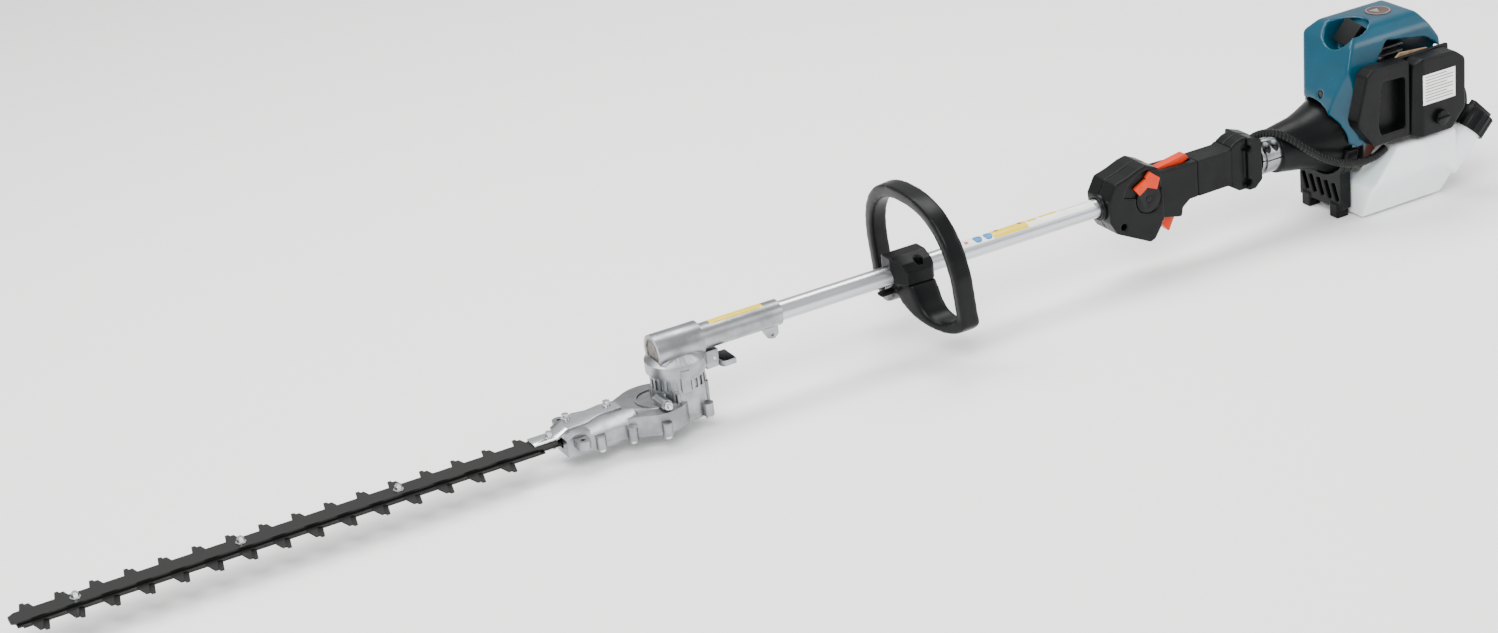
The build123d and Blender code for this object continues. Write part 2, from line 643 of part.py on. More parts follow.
def lever_pad():
    return slab_z([(-113, -11), (-110, -13), (-98, -13), (-98, 13), (-110, 13), (-113, 11)], -33, -31.2)


def lever_pin():
    return bar_y(-9, 9, LEVER_PIN_R, LEVER_PIVOT_X, LEVER_PIVOT_Z)


# ---------------------------------------------------------------- pole
def pole_tube():
    return bar_x(POLE_FRONT_X, POLE_REAR_X, POLE_R) - bar_x(POLE_FRONT_X, POLE_REAR_X, POLE_R - POLE_WALL)


def shaft_bushes():
    bushes = []
    span = POLE_REAR_X - POLE_FRONT_X
    for number in range(BUSH_COUNT):
        centre = POLE_FRONT_X + span * (number + 0.5) / BUSH_COUNT
        bush = bar_x(centre - BUSH_LENGTH / 2, centre + BUSH_LENGTH / 2, POLE_R - POLE_WALL)
        bushes.append(bush - bar_x(centre - BUSH_LENGTH / 2, centre + BUSH_LENGTH / 2, SHAFT_R + RUN))
    return bushes


# ---------------------------------------------------------------- loop handle
def loop_arch(inset):
    """The loop's arch as (y, z) points from the far side over the top to the near side."""
    half = LOOP_HALF - inset
    rise = LOOP_TOP_Z - inset - LOOP_SHOULDER_Z
    points = []
    for step in range(ARCH_STEPS + 1):
        angle = pi * step / ARCH_STEPS
        side = 1 if step * 2 < ARCH_STEPS else -1
        y = side * half * abs(cos(angle)) ** (2 / LOOP_SQUARENESS)
        z = LOOP_SHOULDER_Z + rise * sin(angle) ** (2 / LOOP_SQUARENESS)
        points.append((y, z))
    return points


def arch_slab(inset, bottom_z, x0, x1):
    """A slab bounded by the arch above and straight sides below it."""
    half = LOOP_HALF - inset
    arch = Spline(*[(x0, y, z) for y, z in loop_arch(inset)], tangents=[(0, 0, 1), (0, 0, -1)])
    legs = Polyline((x0, -half, LOOP_SHOULDER_Z), (x0, -half, bottom_z), (x0, half, bottom_z),
                    (x0, half, LOOP_SHOULDER_Z))
    return extrude(make_face([arch, legs]), amount=x1 - x0, dir=(1, 0, 0))


def loop_strap():
    """Two J-shaped arms, deep at the pole and slim at the loop's lower corners."""
    x0 = CLAMP_FRONT_X
    inner = LOOP_HALF - LOOP_TUBE
    top = Spline((x0, CLAMP_HALF, CLAMP_SPLIT_Z), (x0, 36, -22), (x0, 48, -41), (x0, 68, -47),
                 (x0, inner, -38))
    side = Polyline((x0, inner, -38), (x0, LOOP_HALF, -38), (x0, LOOP_HALF, LOOP_CORNER_Z))
    low = Spline((x0, LOOP_HALF, LOOP_CORNER_Z), (x0, 86, -58), (x0, 58, -58.5), (x0, 30, -49),
                 (x0, 0, CLAMP_FLOOR_Z))
    middle = Polyline((x0, 0, CLAMP_FLOOR_Z), (x0, 0, CLAMP_SPLIT_Z), (x0, CLAMP_HALF, CLAMP_SPLIT_Z))
    arm = extrude(make_face([top, side, low, middle]), amount=STRAP_REAR_X - x0, dir=(1, 0, 0))
    front = CLAMP_FRONT_X + 2
    plan = slab_z([(front, 0), (front, 12), (front + 4, 30), (front + 12, 55), (front + 22, 85),
                   (front + 28, LOOP_HALF + 1),
                   (STRAP_REAR_X, LOOP_HALF + 1), (STRAP_REAR_X, 92), (CLAMP_REAR_X + 2, 36),
                   (CLAMP_REAR_X, 24), (CLAMP_REAR_X, 0)],
                  -70, 0)
    arm = arm & plan
    return arm + mirror(arm, about=Plane.XZ)


def loop_handle():
    """Closed loop, leaning forwards, carried on two arms that rise to the clamp block under the pole."""
    x0 = LOOP_X - LOOP_DEPTH / 2
    x1 = LOOP_X + LOOP_DEPTH / 2
    ring = arch_slab(0, LOOP_CORNER_Z, x0, x1) - arch_slab(LOOP_TUBE, LOOP_CORNER_Z - 1, x0 - 1, x1 + 1)
    ring = Pos(LOOP_X, 0, 0) * Rot(0, -LOOP_LEAN, 0) * Pos(-LOOP_X, 0, 0) * ring
    tongue = block(CLAMP_FRONT_X - 22, CLAMP_FRONT_X + 6, -7, 7, CLAMP_FLOOR_Z + 2, CLAMP_FLOOR_Z + 8)
    shape = ring + loop_strap() + tongue
    shape -= bar_x(CLAMP_FRONT_X - 1, STRAP_REAR_X + 1, POLE_R)
    for y in (-CLAMP_SCREW_Y, CLAMP_SCREW_Y):
        shape -= bar_z(CLAMP_SPLIT_Z - 12, CLAMP_SPLIT_Z, SCREW_R, CLAMP_SCREW_X, y)
    return shape


def handle_cap():
    x1 = CLAMP_REAR_X
    front = CLAMP_FRONT_X
    half = CLAMP_HALF
    points = [(front - 8, -10), (front + 3, 1 - half), (x1 - 4, -half), (x1, 3 - half),
              (x1, half - 3), (x1 - 4, half), (front + 3, half - 1), (front - 8, 10)]
    shape = slab_z(points, CLAMP_SPLIT_Z, CAP_TOP_Z + 1, 2.5)
    dome = slab_x([(-half, CLAMP_SPLIT_Z - 1), (-half, 9), (-23, 18), (-9, CAP_TOP_Z), (9, CAP_TOP_Z),
                   (23, 18), (half, 9),
                   (half, CLAMP_SPLIT_Z - 1)], front - 9, x1 + 1, 1.0)
    shape = shape & dome
    shape -= bar_x(CLAMP_FRONT_X - 10, x1 + 1, POLE_R)
    shape -= slab_x([(-POLE_R, CLAMP_SPLIT_Z - 1), (-POLE_R, 0), (POLE_R, 0),
                     (POLE_R, CLAMP_SPLIT_Z - 1)],
                    CLAMP_FRONT_X - 10, x1 + 1)
    for y in (-CLAMP_SCREW_Y, CLAMP_SCREW_Y):
        shape -= bar_z(CLAMP_SPLIT_Z, CLAMP_SEAT_Z, SCREW_R, CLAMP_SCREW_X, y)
        shape -= bar_z(CLAMP_SEAT_Z, CAP_TOP_Z, SCREW_HEAD_R + 1, CLAMP_SCREW_X, y)
    return shape


def housing_screws():
    """All the plain socket screws that hold the plastic covers."""
    screws = []
    for y in (-CLAMP_SCREW_Y, CLAMP_SCREW_Y):
        head = bar_z(CLAMP_SEAT_Z, CLAMP_SEAT_Z + SCREW_HEAD_T, SCREW_HEAD_R, CLAMP_SCREW_X, y)
        head -= hexagon_z(CLAMP_SEAT_Z + 1, CLAMP_SEAT_Z + SCREW_HEAD_T, 4.0, CLAMP_SCREW_X, y)
        screws.append(head + bar_z(CLAMP_SPLIT_Z - 12, CLAMP_SEAT_Z, SCREW_R, CLAMP_SCREW_X, y))
    for x, z in shell_screw_places():
        head = bar_y(-HOUSING_HALF + 9, -HOUSING_HALF + 9 + SCREW_HEAD_T, SCREW_HEAD_R, x, z)
        screws.append(head + bar_y(-HOUSING_HALF + 9 + SCREW_HEAD_T, 8, SCREW_R, x, z))
    seat_x = COVER_FRONT_X + COVER_SCREW_SEAT
    head = bar_x(seat_x, seat_x + SCREW_HEAD_T, SCREW_HEAD_R, COVER_SCREW_Y, COVER_SCREW_Z)
    head += bar_x(seat_x + SCREW_HEAD_T, seat_x + 12, SCREW_R, COVER_SCREW_Y, COVER_SCREW_Z)
    screws.append(head)
    return screws


# ---------------------------------------------------------------- trigger handle
def shell_screw_places():
    return [(447.0, -26.0), (640.0, 25.0), (640.0, -21.0)]


def handle_profile():
    return [(HANDLE_FRONT_X, 13.5), (437, 33), (456, 38), (472, 44), (484, 46.5), (500, 39), (509, 29),
            (562, 27),
            (612, 27), (628, 36), (641, 39), (HANDLE_REAR_X, 32), (HANDLE_REAR_X, -22), (650, -32),
            (630, -32),
            (612, -20), (553, -21), (542, -29), (540, -41), (506, -33), (503, -41), (493, -55),
            (486, -57.5),
            (437, -33), (428, -17)]


def handle_core(half):
    """Both shells as one block, before they are split and hollowed."""
    housing = slab_y(handle_profile(), -half, half, 2.5)
    slim = GRIP_HALF
    for sign in (-1, 1):
        housing -= block(508, HANDLE_REAR_X - 22, *sorted((sign * slim, sign * (half + 1))), -70, 60)
    return housing


def trigger_shell(side):
    """side -1 is the near half, +1 the far half."""
    shape = handle_core(HOUSING_HALF)
    keep = block(HANDLE_FRONT_X - 10, HANDLE_REAR_X + 10, *sorted((0.0, side * 60.0)), -80, 80)
    shape = shape & keep
    shape -= bar_x(HANDLE_FRONT_X - 10, HANDLE_REAR_X + 10, POLE_R)
    # recess of the rubber sleeve
    ring = block(GRIP_FRONT_X, GRIP_REAR_X, -60, 60, -60, 60) - sleeve_core()
    shape -= ring
    # room for the controls
    slot = CONTROL_HALF + OPEN
    shape -= block(500.0, 548, -slot, slot, -60, 0)
    shape -= block(508.5, 563, -slot, slot, 0, 60)
    shape -= block(447, 500, -16, 16, 15, 34)
    shape -= block(447, 480, -16, 16, -34, -15)
    if side < 0:
        arm = CONTROL_HALF + OPEN
        shape += bar_y(-arm, arm, PIVOT_R, TRIGGER_PIVOT_X, TRIGGER_PIVOT_Z)
        shape += bar_y(-arm, arm, PIVOT_R, LOCKOFF_PIVOT_X, LOCKOFF_PIVOT_Z)
        shape -= switch_pocket()
        shape += bar_y(-HOUSING_HALF + 0.5, -HOUSING_HALF + 0.5 + SWITCH_T + 1, 4.0, SWITCH_X, SWITCH_Z)
    for x, z in shell_screw_places():
        shape -= bar_y(-HOUSING_HALF - 1, -HOUSING_HALF + 9 + SCREW_HEAD_T, SCREW_HEAD_R, x, z)
        shape -= bar_y(-HOUSING_HALF, 8, SCREW_R, x, z)
    return shape - throttle_conduit()


def switch_pocket():
    """The recess in the near panel that the switch sweeps."""
    y0 = -HOUSING_HALF - 1
    y1 = -HOUSING_HALF + SWITCH_T + 1
    corners = [(SWITCH_X + 60 * cos(radians(a)), SWITCH_Z + 60 * sin(radians(a))) for a in (24, 70, 120,
                                                                                            164)]
    sector = slab_y([(SWITCH_X, SWITCH_Z)] + corners, y0, y1)
    return (bar_y(y0, y1, 38.5, SWITCH_X, SWITCH_Z) & sector) + bar_y(y0, y1, 18.0 + OPEN, SWITCH_X,
                                                                      SWITCH_Z)


def stop_switch():
    """Rocking stop switch that turns about the screw disc on the near panel."""
    y0 = -HOUSING_HALF - 0.5
    y1 = -HOUSING_HALF + SWITCH_T
    hub = bar_y(y0 + 1.5, y1, 18.0, SWITCH_X, SWITCH_Z)
    thumb = slab_y([(SWITCH_X - 2, SWITCH_Z + 16), (SWITCH_X + 12, SWITCH_Z + 10),
                    (SWITCH_X + 17, SWITCH_Z + 24),
                    (SWITCH_X + 2, SWITCH_Z + 36), (SWITCH_X - 4, SWITCH_Z + 30)], y0, y1, 1.0)
    arm = slab_y([(SWITCH_X - 2, SWITCH_Z + 16), (SWITCH_X - 4, SWITCH_Z + 28),
                  (SWITCH_X - 22, SWITCH_Z + 19),
                  (SWITCH_X - 14, SWITCH_Z + 8)], y0, y1, 1.0)
    return hub + thumb + arm - bar_y(y0, y1, 4.0 + RUN, SWITCH_X, SWITCH_Z)


def sleeve_core():
    """The slimmer core that the rubber sleeve is moulded over."""
    return slab_y([(GRIP_FRONT_X - 1, 25), (GRIP_REAR_X + 1, 25), (GRIP_REAR_X + 1, -18),
                   (GRIP_FRONT_X - 1, -18)],
                  -GRIP_HALF + GRIP_SKIN, GRIP_HALF - GRIP_SKIN, 0.8)


def rear_grip():
    shape = handle_core(HOUSING_HALF) & block(GRIP_FRONT_X, GRIP_REAR_X, -60, 60, -60, 60)
    return shape - sleeve_core()


def throttle_trigger():
    points = [(503.5, -16.5), (512, -16.5), (534, -23), (537, -38), (526, -60), (512, -42), (503.5, -30)]
    shape = slab_y(points, -CONTROL_HALF, CONTROL_HALF, 1.5)
    return shape - bar_y(-CONTROL_HALF, CONTROL_HALF, PIVOT_R + RUN, TRIGGER_PIVOT_X, TRIGGER_PIVOT_Z)


def lock_off_lever():
    points = [(510.5, 15.0), (510.5, 29), (556, 36.5), (561, 30), (540, 22), (524, 15.0)]
    shape = slab_y(points, -CONTROL_HALF, CONTROL_HALF, 1.0)
    return shape - bar_y(-CONTROL_HALF, CONTROL_HALF, PIVOT_R + RUN, LOCKOFF_PIVOT_X, LOCKOFF_PIVOT_Z)


# ---------------------------------------------------------------- clutch and clamp
def pole_clamp():
    ring = bar_x(CLAMP_RING_X0, HOUSING_X0, CLAMP_RING_R - 3) + bar_x(CLAMP_RING_X0 + 5, HOUSING_X0,
                                                                      CLAMP_RING_R)
    ring += block(CLAMP_RING_X0 + 6, HOUSING_X0 - 2, -7, 7, CLAMP_RING_R - 6, CLAMP_RING_R + 2)
    ring -= bar_x(CLAMP_RING_X0, HOUSING_X0, POLE_R)
    ring -= block(CLAMP_RING_X0, HOUSING_X0, -CLAMP_RING_R - 4, 0, -0.8, 0.8)
    for x in clamp_screw_places():
        ring -= bar_z(-9, 16, 3.0, x, -18.0)
        ring -= bar_z(9, 30, 5.3, x, -18.0)
    return ring


def clamp_screw_places():
    return (CLAMP_RING_X0 + 8.5, CLAMP_RING_X0 + 20.5)


def clamp_screws():
    screws = []
    for x in clamp_screw_places():
        head = bar_z(9, 15, 5.0, x, -18.0) - hexagon_z(11, 15, 5.0, x, -18.0)
        screws.append(head + bar_z(-9, 9, 3.0, x, -18.0))
    return screws


def clutch_housing():
    outer = turned_x([(HOUSING_X0, 0.01), (HOUSING_X0, 28.5), (735, 35), (752, 40.5),
                      (HOUSING_X1 - 8, 50),
                      (HOUSING_X1, 50), (HOUSING_X1, 0.01)])
    outer -= bar_x(HOUSING_X0, POLE_REAR_X, POLE_R)
    outer -= bar_x(POLE_REAR_X, DRUM_X - 14, 8.0)
    outer -= bar_x(DRUM_X - 14, DRUM_X - 2, 10.0 + RUN)
    outer -= bar_x(DRUM_X - 2, HOUSING_X1, CLUTCH_R + 3)
    outer -= bar_x(HOUSING_X1 - 4, HOUSING_X1, FLYWHEEL_R + 2)
    return outer


def clutch_drum():
    hub = bar_x(DRUM_X - 13, DRUM_X + 3, 10.0)
    cup = bar_x(DRUM_X, DRUM_X + 22, CLUTCH_R) - bar_x(DRUM_X + 3, DRUM_X + 22, CLUTCH_R - 2)
    return hub + cup - bar_x(DRUM_X - 13, DRUM_X - 2, SHAFT_R)


def clutch_shoes():
    x0 = DRUM_X + 6
    x1 = DRUM_X + 20
    ring = bar_x(x0, x1, CLUTCH_R - 3) - bar_x(x0, x1, 10)
    ring -= block(x0 - 1, x1 + 1, -2.5, 2.5, -40, 40)
    return ring.solids()


# ---------------------------------------------------------------- engine
def crankshaft():
    shape = bar_x(DRUM_X + 6, CYLINDER_X - 8, CRANK_R) + bar_x(CYLINDER_X + 8, STARTER_X1 - 45, CRANK_R)
    shape += bar_x(DRUM_X + 6, DRUM_X + 20, 10)
    for x0, x1 in ((CYLINDER_X - 18, CYLINDER_X - 7), (CYLINDER_X + 7, CYLINDER_X + 18)):
        shape += bar_x(x0, x1, 25) - block(x0, x1, -30, -12, 0, 30) - block(x0, x1, 12, 30, 0, 30)
    return shape + bar_x(CYLINDER_X - 7, CYLINDER_X + 7, 5, 0, 14)


def flywheel():
    x0 = FLYWHEEL_X
    shape = bar_x(x0, x0 + 8, FLYWHEEL_R) + bar_x(x0 - 4, x0 + 12, 14)
    blades = 12
    for number in range(blades):
        fin = Pos(x0 - 2, 0, 34) * Box(6, 2.5, 16)
        shape += Rot(360 / blades * number, 0, 0) * fin
    return shape - bar_x(x0 - 10, x0 + 20, CRANK_R)


def crankcase():
    half = CRANKCASE_HALF
    shape = block(CRANKCASE_X0, CRANKCASE_X1, -half, half, -46, 40)
    shape -= bar_x(CRANKCASE_X0 + 8, CRANKCASE_X1 - 8, 30)
    shape -= bar_x(CRANKCASE_X0, CRANKCASE_X1, CRANK_R + RUN)
    shape -= bar_z(0, 40, BORE_R, CYLINDER_X)
    return shape


def cylinder():
    shape = bar_z(40, 112, BORE_R + 4, CYLINDER_X)
    for number in range(7):
        z = 50 + number * 9.0
        shape += block(CYLINDER_X - 30, CYLINDER_X + 30, -32, 32, z, z + 2.5)
    shape += block(CYLINDER_X - 24, CYLINDER_X + 24, -24, 24, 40, 44)
    shape -= bar_z(40, 104, BORE_R, CYLINDER_X)
    return shape - along_plug(6.0, -4, 20) - along_plug(10.0, 5, 45)


def tilted(shape):
    """Moves a piece made along Z into the spark plug's sloping seat."""
    return Pos(CYLINDER_X - 12, -8, 108) * Rot(8, -52, 0) * shape


def along_plug(radius, start, end):
    return tilted(Pos(0, 0, (start + end) / 2) * Cylinder(radius, end - start))


def spark_plug():
    return along_plug(6.0, -3, 5) + along_plug(8.5, 5, 10) + along_plug(5.0, 10, 24)


def plug_boot():
    shape = along_plug(9.5, 14, 32) + tilted(Pos(1, 0, 33) * Box(32, 30, 14))
    return shape - along_plug(5.0, 10, 24)


def cover_outline(inset):
    """The hood seen from the side, pulled in by the wall."""
    front = COVER_FRONT_X + inset
    rear = COVER_REAR_X - inset
    top = COVER_TOP_Z - inset
    return [(front, -40), (front, 25), (front + 9, 63), (front + 22, 102), (front + 31, 124 - inset),
            (front + 47, top),
            (rear - 22, top), (rear, 108 - inset), (rear, -40)]


def hood_block(inset):
    half = COVER_HALF - inset
    front = COVER_FRONT_X + inset
    rear = COVER_REAR_X - inset
    shape = slab_y(cover_outline(inset), -half, half, 9.0)
    section = [(-half, -3), (-half, 70), (-half + 14, 128 - inset), (-half + 30, COVER_TOP_Z - inset),
               (half - 30, COVER_TOP_Z - inset), (half - 14, 128 - inset), (half, 70), (half, -3)]
    shape = shape & slab_x(section, front - 5, rear + 5, [1.0] + [12.0] * 6 + [1.0])
    near = COVER_CORNER
    far = COVER_FAR_CORNER
    plan = [(front, near - half + 3), (front, half - far - 8), (front + far, half), (rear - 8, half),
            (rear, half - 8),
            (rear, 8 - half), (rear - 8, -half), (front + near, -half)]
    return shape & slab_z(plan, -50, COVER_TOP_Z + 5, 8.0 if not inset else 6.0)


def boot_bowl():
    """The moulded bowl around the spark plug's boot."""
    bowl = along_plug(BOWL_R + COVER_WALL, BOWL_FLOOR, BOWL_FLOOR + 60) & hood_block(0)
    return bowl - along_plug(BOWL_R, BOWL_FLOOR + COVER_WALL, BOWL_FLOOR + 70) - along_plug(12.0, 0,
                                                                                            BOWL_FLOOR + 10)


def engine_cover():
    shape = hood_block(0) - hood_block(COVER_WALL)
    shape -= block(COVER_FRONT_X - 10, COVER_REAR_X + 10, -COVER_HALF + COVER_WALL,
                   COVER_HALF - COVER_WALL, -5, 0)
    shape -= bar_x(COVER_FRONT_X - 10, COVER_FRONT_X + 45, COVER_ARCH_R)
    # opening for the air cleaner on the near side
    shape -= slab_y([(822, -10), (822, 100), (842, 122), (903, 112), (930, 90), (930, -10)],
                    -COVER_HALF - 5, -COVER_HALF + 20)
    shape -= bar_x(STARTER_X0 - 5, COVER_REAR_X + 5, STARTER_R + GAP)
    # bowl for the plug boot in the sloping shoulder
    shape -= along_plug(BOWL_R, 0, 90)
    shape += boot_bowl()
    shape -= bar_x(COVER_FRONT_X - 5, COVER_FRONT_X + COVER_SCREW_SEAT + SCREW_HEAD_T + 8, SCREW_HEAD_R,
                   COVER_SCREW_Y, COVER_SCREW_Z)
    for row in range(4):
        z = 62 + row * 12
        shape -= block(CYLINDER_X - 25, CYLINDER_X + 30, COVER_HALF - 25, COVER_HALF + 5, z, z + 5)
    return shape


def muffler():
    inner_y = CRANKCASE_HALF
    shape = block(828, 893, inner_y, inner_y + 21, -2, 52)
    shape = fillet(shape.edges().filter_by(Axis.Y), 6)
    return shape - block(831, 890, inner_y + 3, inner_y + 18, 1, 49) - bar_x(885, 895, 5, inner_y + 10,
                                                                             12)


def heat_plate():
    points = [(830, 2), (830, 92), (850, 108), (895, 104), (908, 88), (908, 2)]
    return slab_y(points, -64, -61.5, 6.0) - bar_y(-66, -60, 9, 862, 62)


def carburettor():
    shape = block(845, 880, -61.5, -34, 40, 78) + block(878, 893, -50, -46, 55, 65)
    shape += bar_y(-58, -46, CHOKE_PIN_R, 888, 60)
    shape -= bar_y(-61.5, -34, 8, 862, 62)
    return shape - bar_z(40, 48 + GAP, PRIMER_R + RUN, 862, -48)


def air_cleaner_base():
    frame_points = [(790, 3), (767, 32), (764, 42), (779, 98), (788, 106), (847, 104), (847, 3)]
    shape = slab_y(frame_points, AIR_FRAME_Y, -64, 4.0)
    shape -= slab_y([(801, 16), (797, 30), (803, 86), (840, 84), (840, 16)], AIR_FRAME_Y - 1, -60, 4.0)
    plate = slab_y([(840, 2), (840, 104), (925, 104), (925, 2)], -69, -64, 3.0)
    return shape + plate - bar_y(AIR_FRAME_Y, -60, 9, 862, 62)


def air_filter():
    return block(868, 916, AIR_FRAME_Y + 2, -69, 34, 90)


def air_cleaner_cover():
    outer = slab_y([(848, -1), (850, 96), (860, 104), (914, 102), (930, 90), (930, 22), (908, -2)],
                   AIR_Y, -69, 7.0)
    outer -= slab_z([(846, AIR_FRAME_Y), (846, AIR_Y - 1), (863, AIR_Y - 1)], -5, 110)
    shape = outer - slab_y([(855, 6), (857, 94), (865, 99), (912, 98), (925, 87), (925, 25), (905, 6)],
                           AIR_FRAME_Y + 1, -69, 5.0)
    shape -= slab_y([(866, 8), (866, 95), (912, 96), (924, 87), (924, 26), (905, 8)], AIR_Y + 3, -69, 5.0)
    return shape - bar_y(AIR_Y, AIR_Y + 3, 4.0 + RUN, 889, 20)


def air_cover_knob():
    shape = bar_y(AIR_Y - 6, AIR_Y - SLIDE, 10, 889, 20) + bar_y(AIR_Y - SLIDE, AIR_Y + 10, 4.0, 889, 20)
    return shape + block(880, 898, AIR_Y - 9, AIR_Y - 5, 18.4, 21.6)


def lower_shroud():
    """Fan housing with slots and the two feet that the engine stands on."""
    shape = bar_x(SHROUD_X0, SHROUD_X1, SHROUD_R)
    shape += block(SHROUD_X0, SHROUD_X1, -42, 42, -92, -30)
    shape -= bar_x(SHROUD_X0 - 1, SHROUD_X1 + 1, COVER_ARCH_R - 2)
    shape -= block(SHROUD_X0 - 1, SHROUD_X1 + 1, -70, 70, -5, 70)
    for y in (-28.0, 28.0):
        shape += block(SHROUD_X0 - 2, SHROUD_X1, y - 8, y + 8, FOOT_Z, -86)
    for number in range(SHROUD_SLOTS):
        y = (number - (SHROUD_SLOTS - 1) / 2) * SHROUD_SLOT_PITCH
        slot = Rot(SHROUD_SLOT_SLANT, 0, 0) * Box(SHROUD_SLOT_DEPTH, 7, 24)
        shape -= Pos(SHROUD_X0 + SHROUD_SLOT_DEPTH / 2 - 1, y, -70) * slot
    return shape


def tank_block(inset):
    low = FOOT_Z + 3 + inset
    top = TANK_Z1 - inset
    y0 = -84 + inset
    section = [(y0, -8 - inset), (y0, -50), (-60 + inset, low), (46 - inset, low), (56 - inset, top),
               (-40, top), (-46, -8 - inset)]
    x0 = SHROUD_X1 + 3 + inset
    body = slab_x(section, x0, TANK_REAR_X - inset, 5.0)
    return body & slab_y(
        [(x0, -120), (x0 - 1, -60), (830, -8 - inset), (TANK_REAR_X + 1, -8 - inset),
         (TANK_REAR_X + 1, -80),
         (TANK_REAR_X - 13, -120)], -100, 70)


def fuel_tank():
    length = NECK_TOP - NECK_LOW
    neck = neck_along(Pos(0, 0, NECK_TOP - length / 2) * Cylinder(NECK_R, length))
    inner = neck_along(Pos(0, 0, NECK_TOP - length / 2 + 2 * TANK_WALL) * Cylinder(NECK_R - TANK_WALL,
                                                                                   length))
    return tank_block(0) + neck - tank_block(TANK_WALL) - inner


def neck_along(shape):
    """Places a piece made along Z on the filler neck's sloping axis."""
    return Pos(951, -66, -31) * Rot(0, 45, 0) * shape


def fuel_cap():
    shape = Pos(0, 0, 22) * Cylinder(CAP_R, 28) + Pos(0, 0, 40) * Box(36, 9, 8)
    for number in range(CAP_RIBS):
        shape += Rot(0, 0, number * 360 / CAP_RIBS) * Pos(CAP_R, 0, 22) * Cylinder(1.2, 28)
    shape -= Pos(0, 0, 13) * Cylinder(NECK_R + GAP, 13)
    return neck_along(shape)


def starter_housing():
    shape = bar_x(STARTER_X0, STARTER_X1 - 12, STARTER_R) + bar_x(STARTER_X1 - 12, STARTER_X1,
                                                                  STARTER_R - 8)
    shape -= bar_x(STARTER_X0, STARTER_X1 - 15, STARTER_R - 3)
    shape -= bar_x(STARTER_X0, STARTER_X1 - 4, STARTER_R - 12)
    for number in range(8):
        slot = Pos(0, 0, 21) * Box(20, 6, 14)
        shape -= Pos(STARTER_X1, 0, 0) * Rot(number * 45 + 10, 0, 0) * slot
    shape -= bar_y(30, 70, 4.0, ROPE_X, 20)
    return shape + bar_x(STARTER_X1 - 30, STARTER_X1 - 4, 5)


def starter_pulley():
    shape = bar_x(ROPE_X - 8, ROPE_X + 8, PULLEY_R)
    shape -= bar_x(ROPE_X - 3, ROPE_X + 3, PULLEY_R) - bar_x(ROPE_X - 3, ROPE_X + 3, PULLEY_R - 6)
    return shape - bar_x(ROPE_X - 8, ROPE_X + 8, 5 + RUN)


def starter_grip():
    stem = bar_y(STARTER_R - 8, STARTER_R + 6, 3.5, ROPE_X, 20)
    bar = fillet(block(ROPE_X - 19, ROPE_X + 19, STARTER_R + 1, STARTER_R + 15, 13, 27).edges(), 5)
    return stem + bar


def choke_lever():
    shape = bar_y(-58, -52, 5, 888, 60) + block(885, 891, -58, -54, 60, 96)
    return shape + block(883, 893, -60, -52, 90, 100) - bar_y(-58, -52, CHOKE_PIN_R + RUN, 888, 60)


def primer_bulb():
    return bar_z(32, 44, PRIMER_R, 862, -48)


def conduit_route():
    return [(650, -6, 27), (668, -10, 34), (686, -20, 33), (702, -32, 22), (717, -42, 8), (736, -52, -7),
            (758, -62, -18), (783, -67, -22), (806, -69, -18), (820, -70, -10)]


def conduit_radii(route):
    radii = []
    for before, corner, after in zip(route, route[1:], route[2:]):
        first = Vector(*corner) - Vector(*before)
        second = Vector(*after) - Vector(*corner)
        turn = radians(first.get_angle(second))
        radii.append(0.45 * min(first.length, second.length) / tan(turn / 2))
    return radii


def throttle_conduit():
    route = conduit_route()
    radii = conduit_radii(route)
    path = FilletPolyline(*route, radius=radii)
    start = Plane(origin=path @ 0, z_dir=path % 0)
    return sweep(start * Circle(CONDUIT_R), path=path)


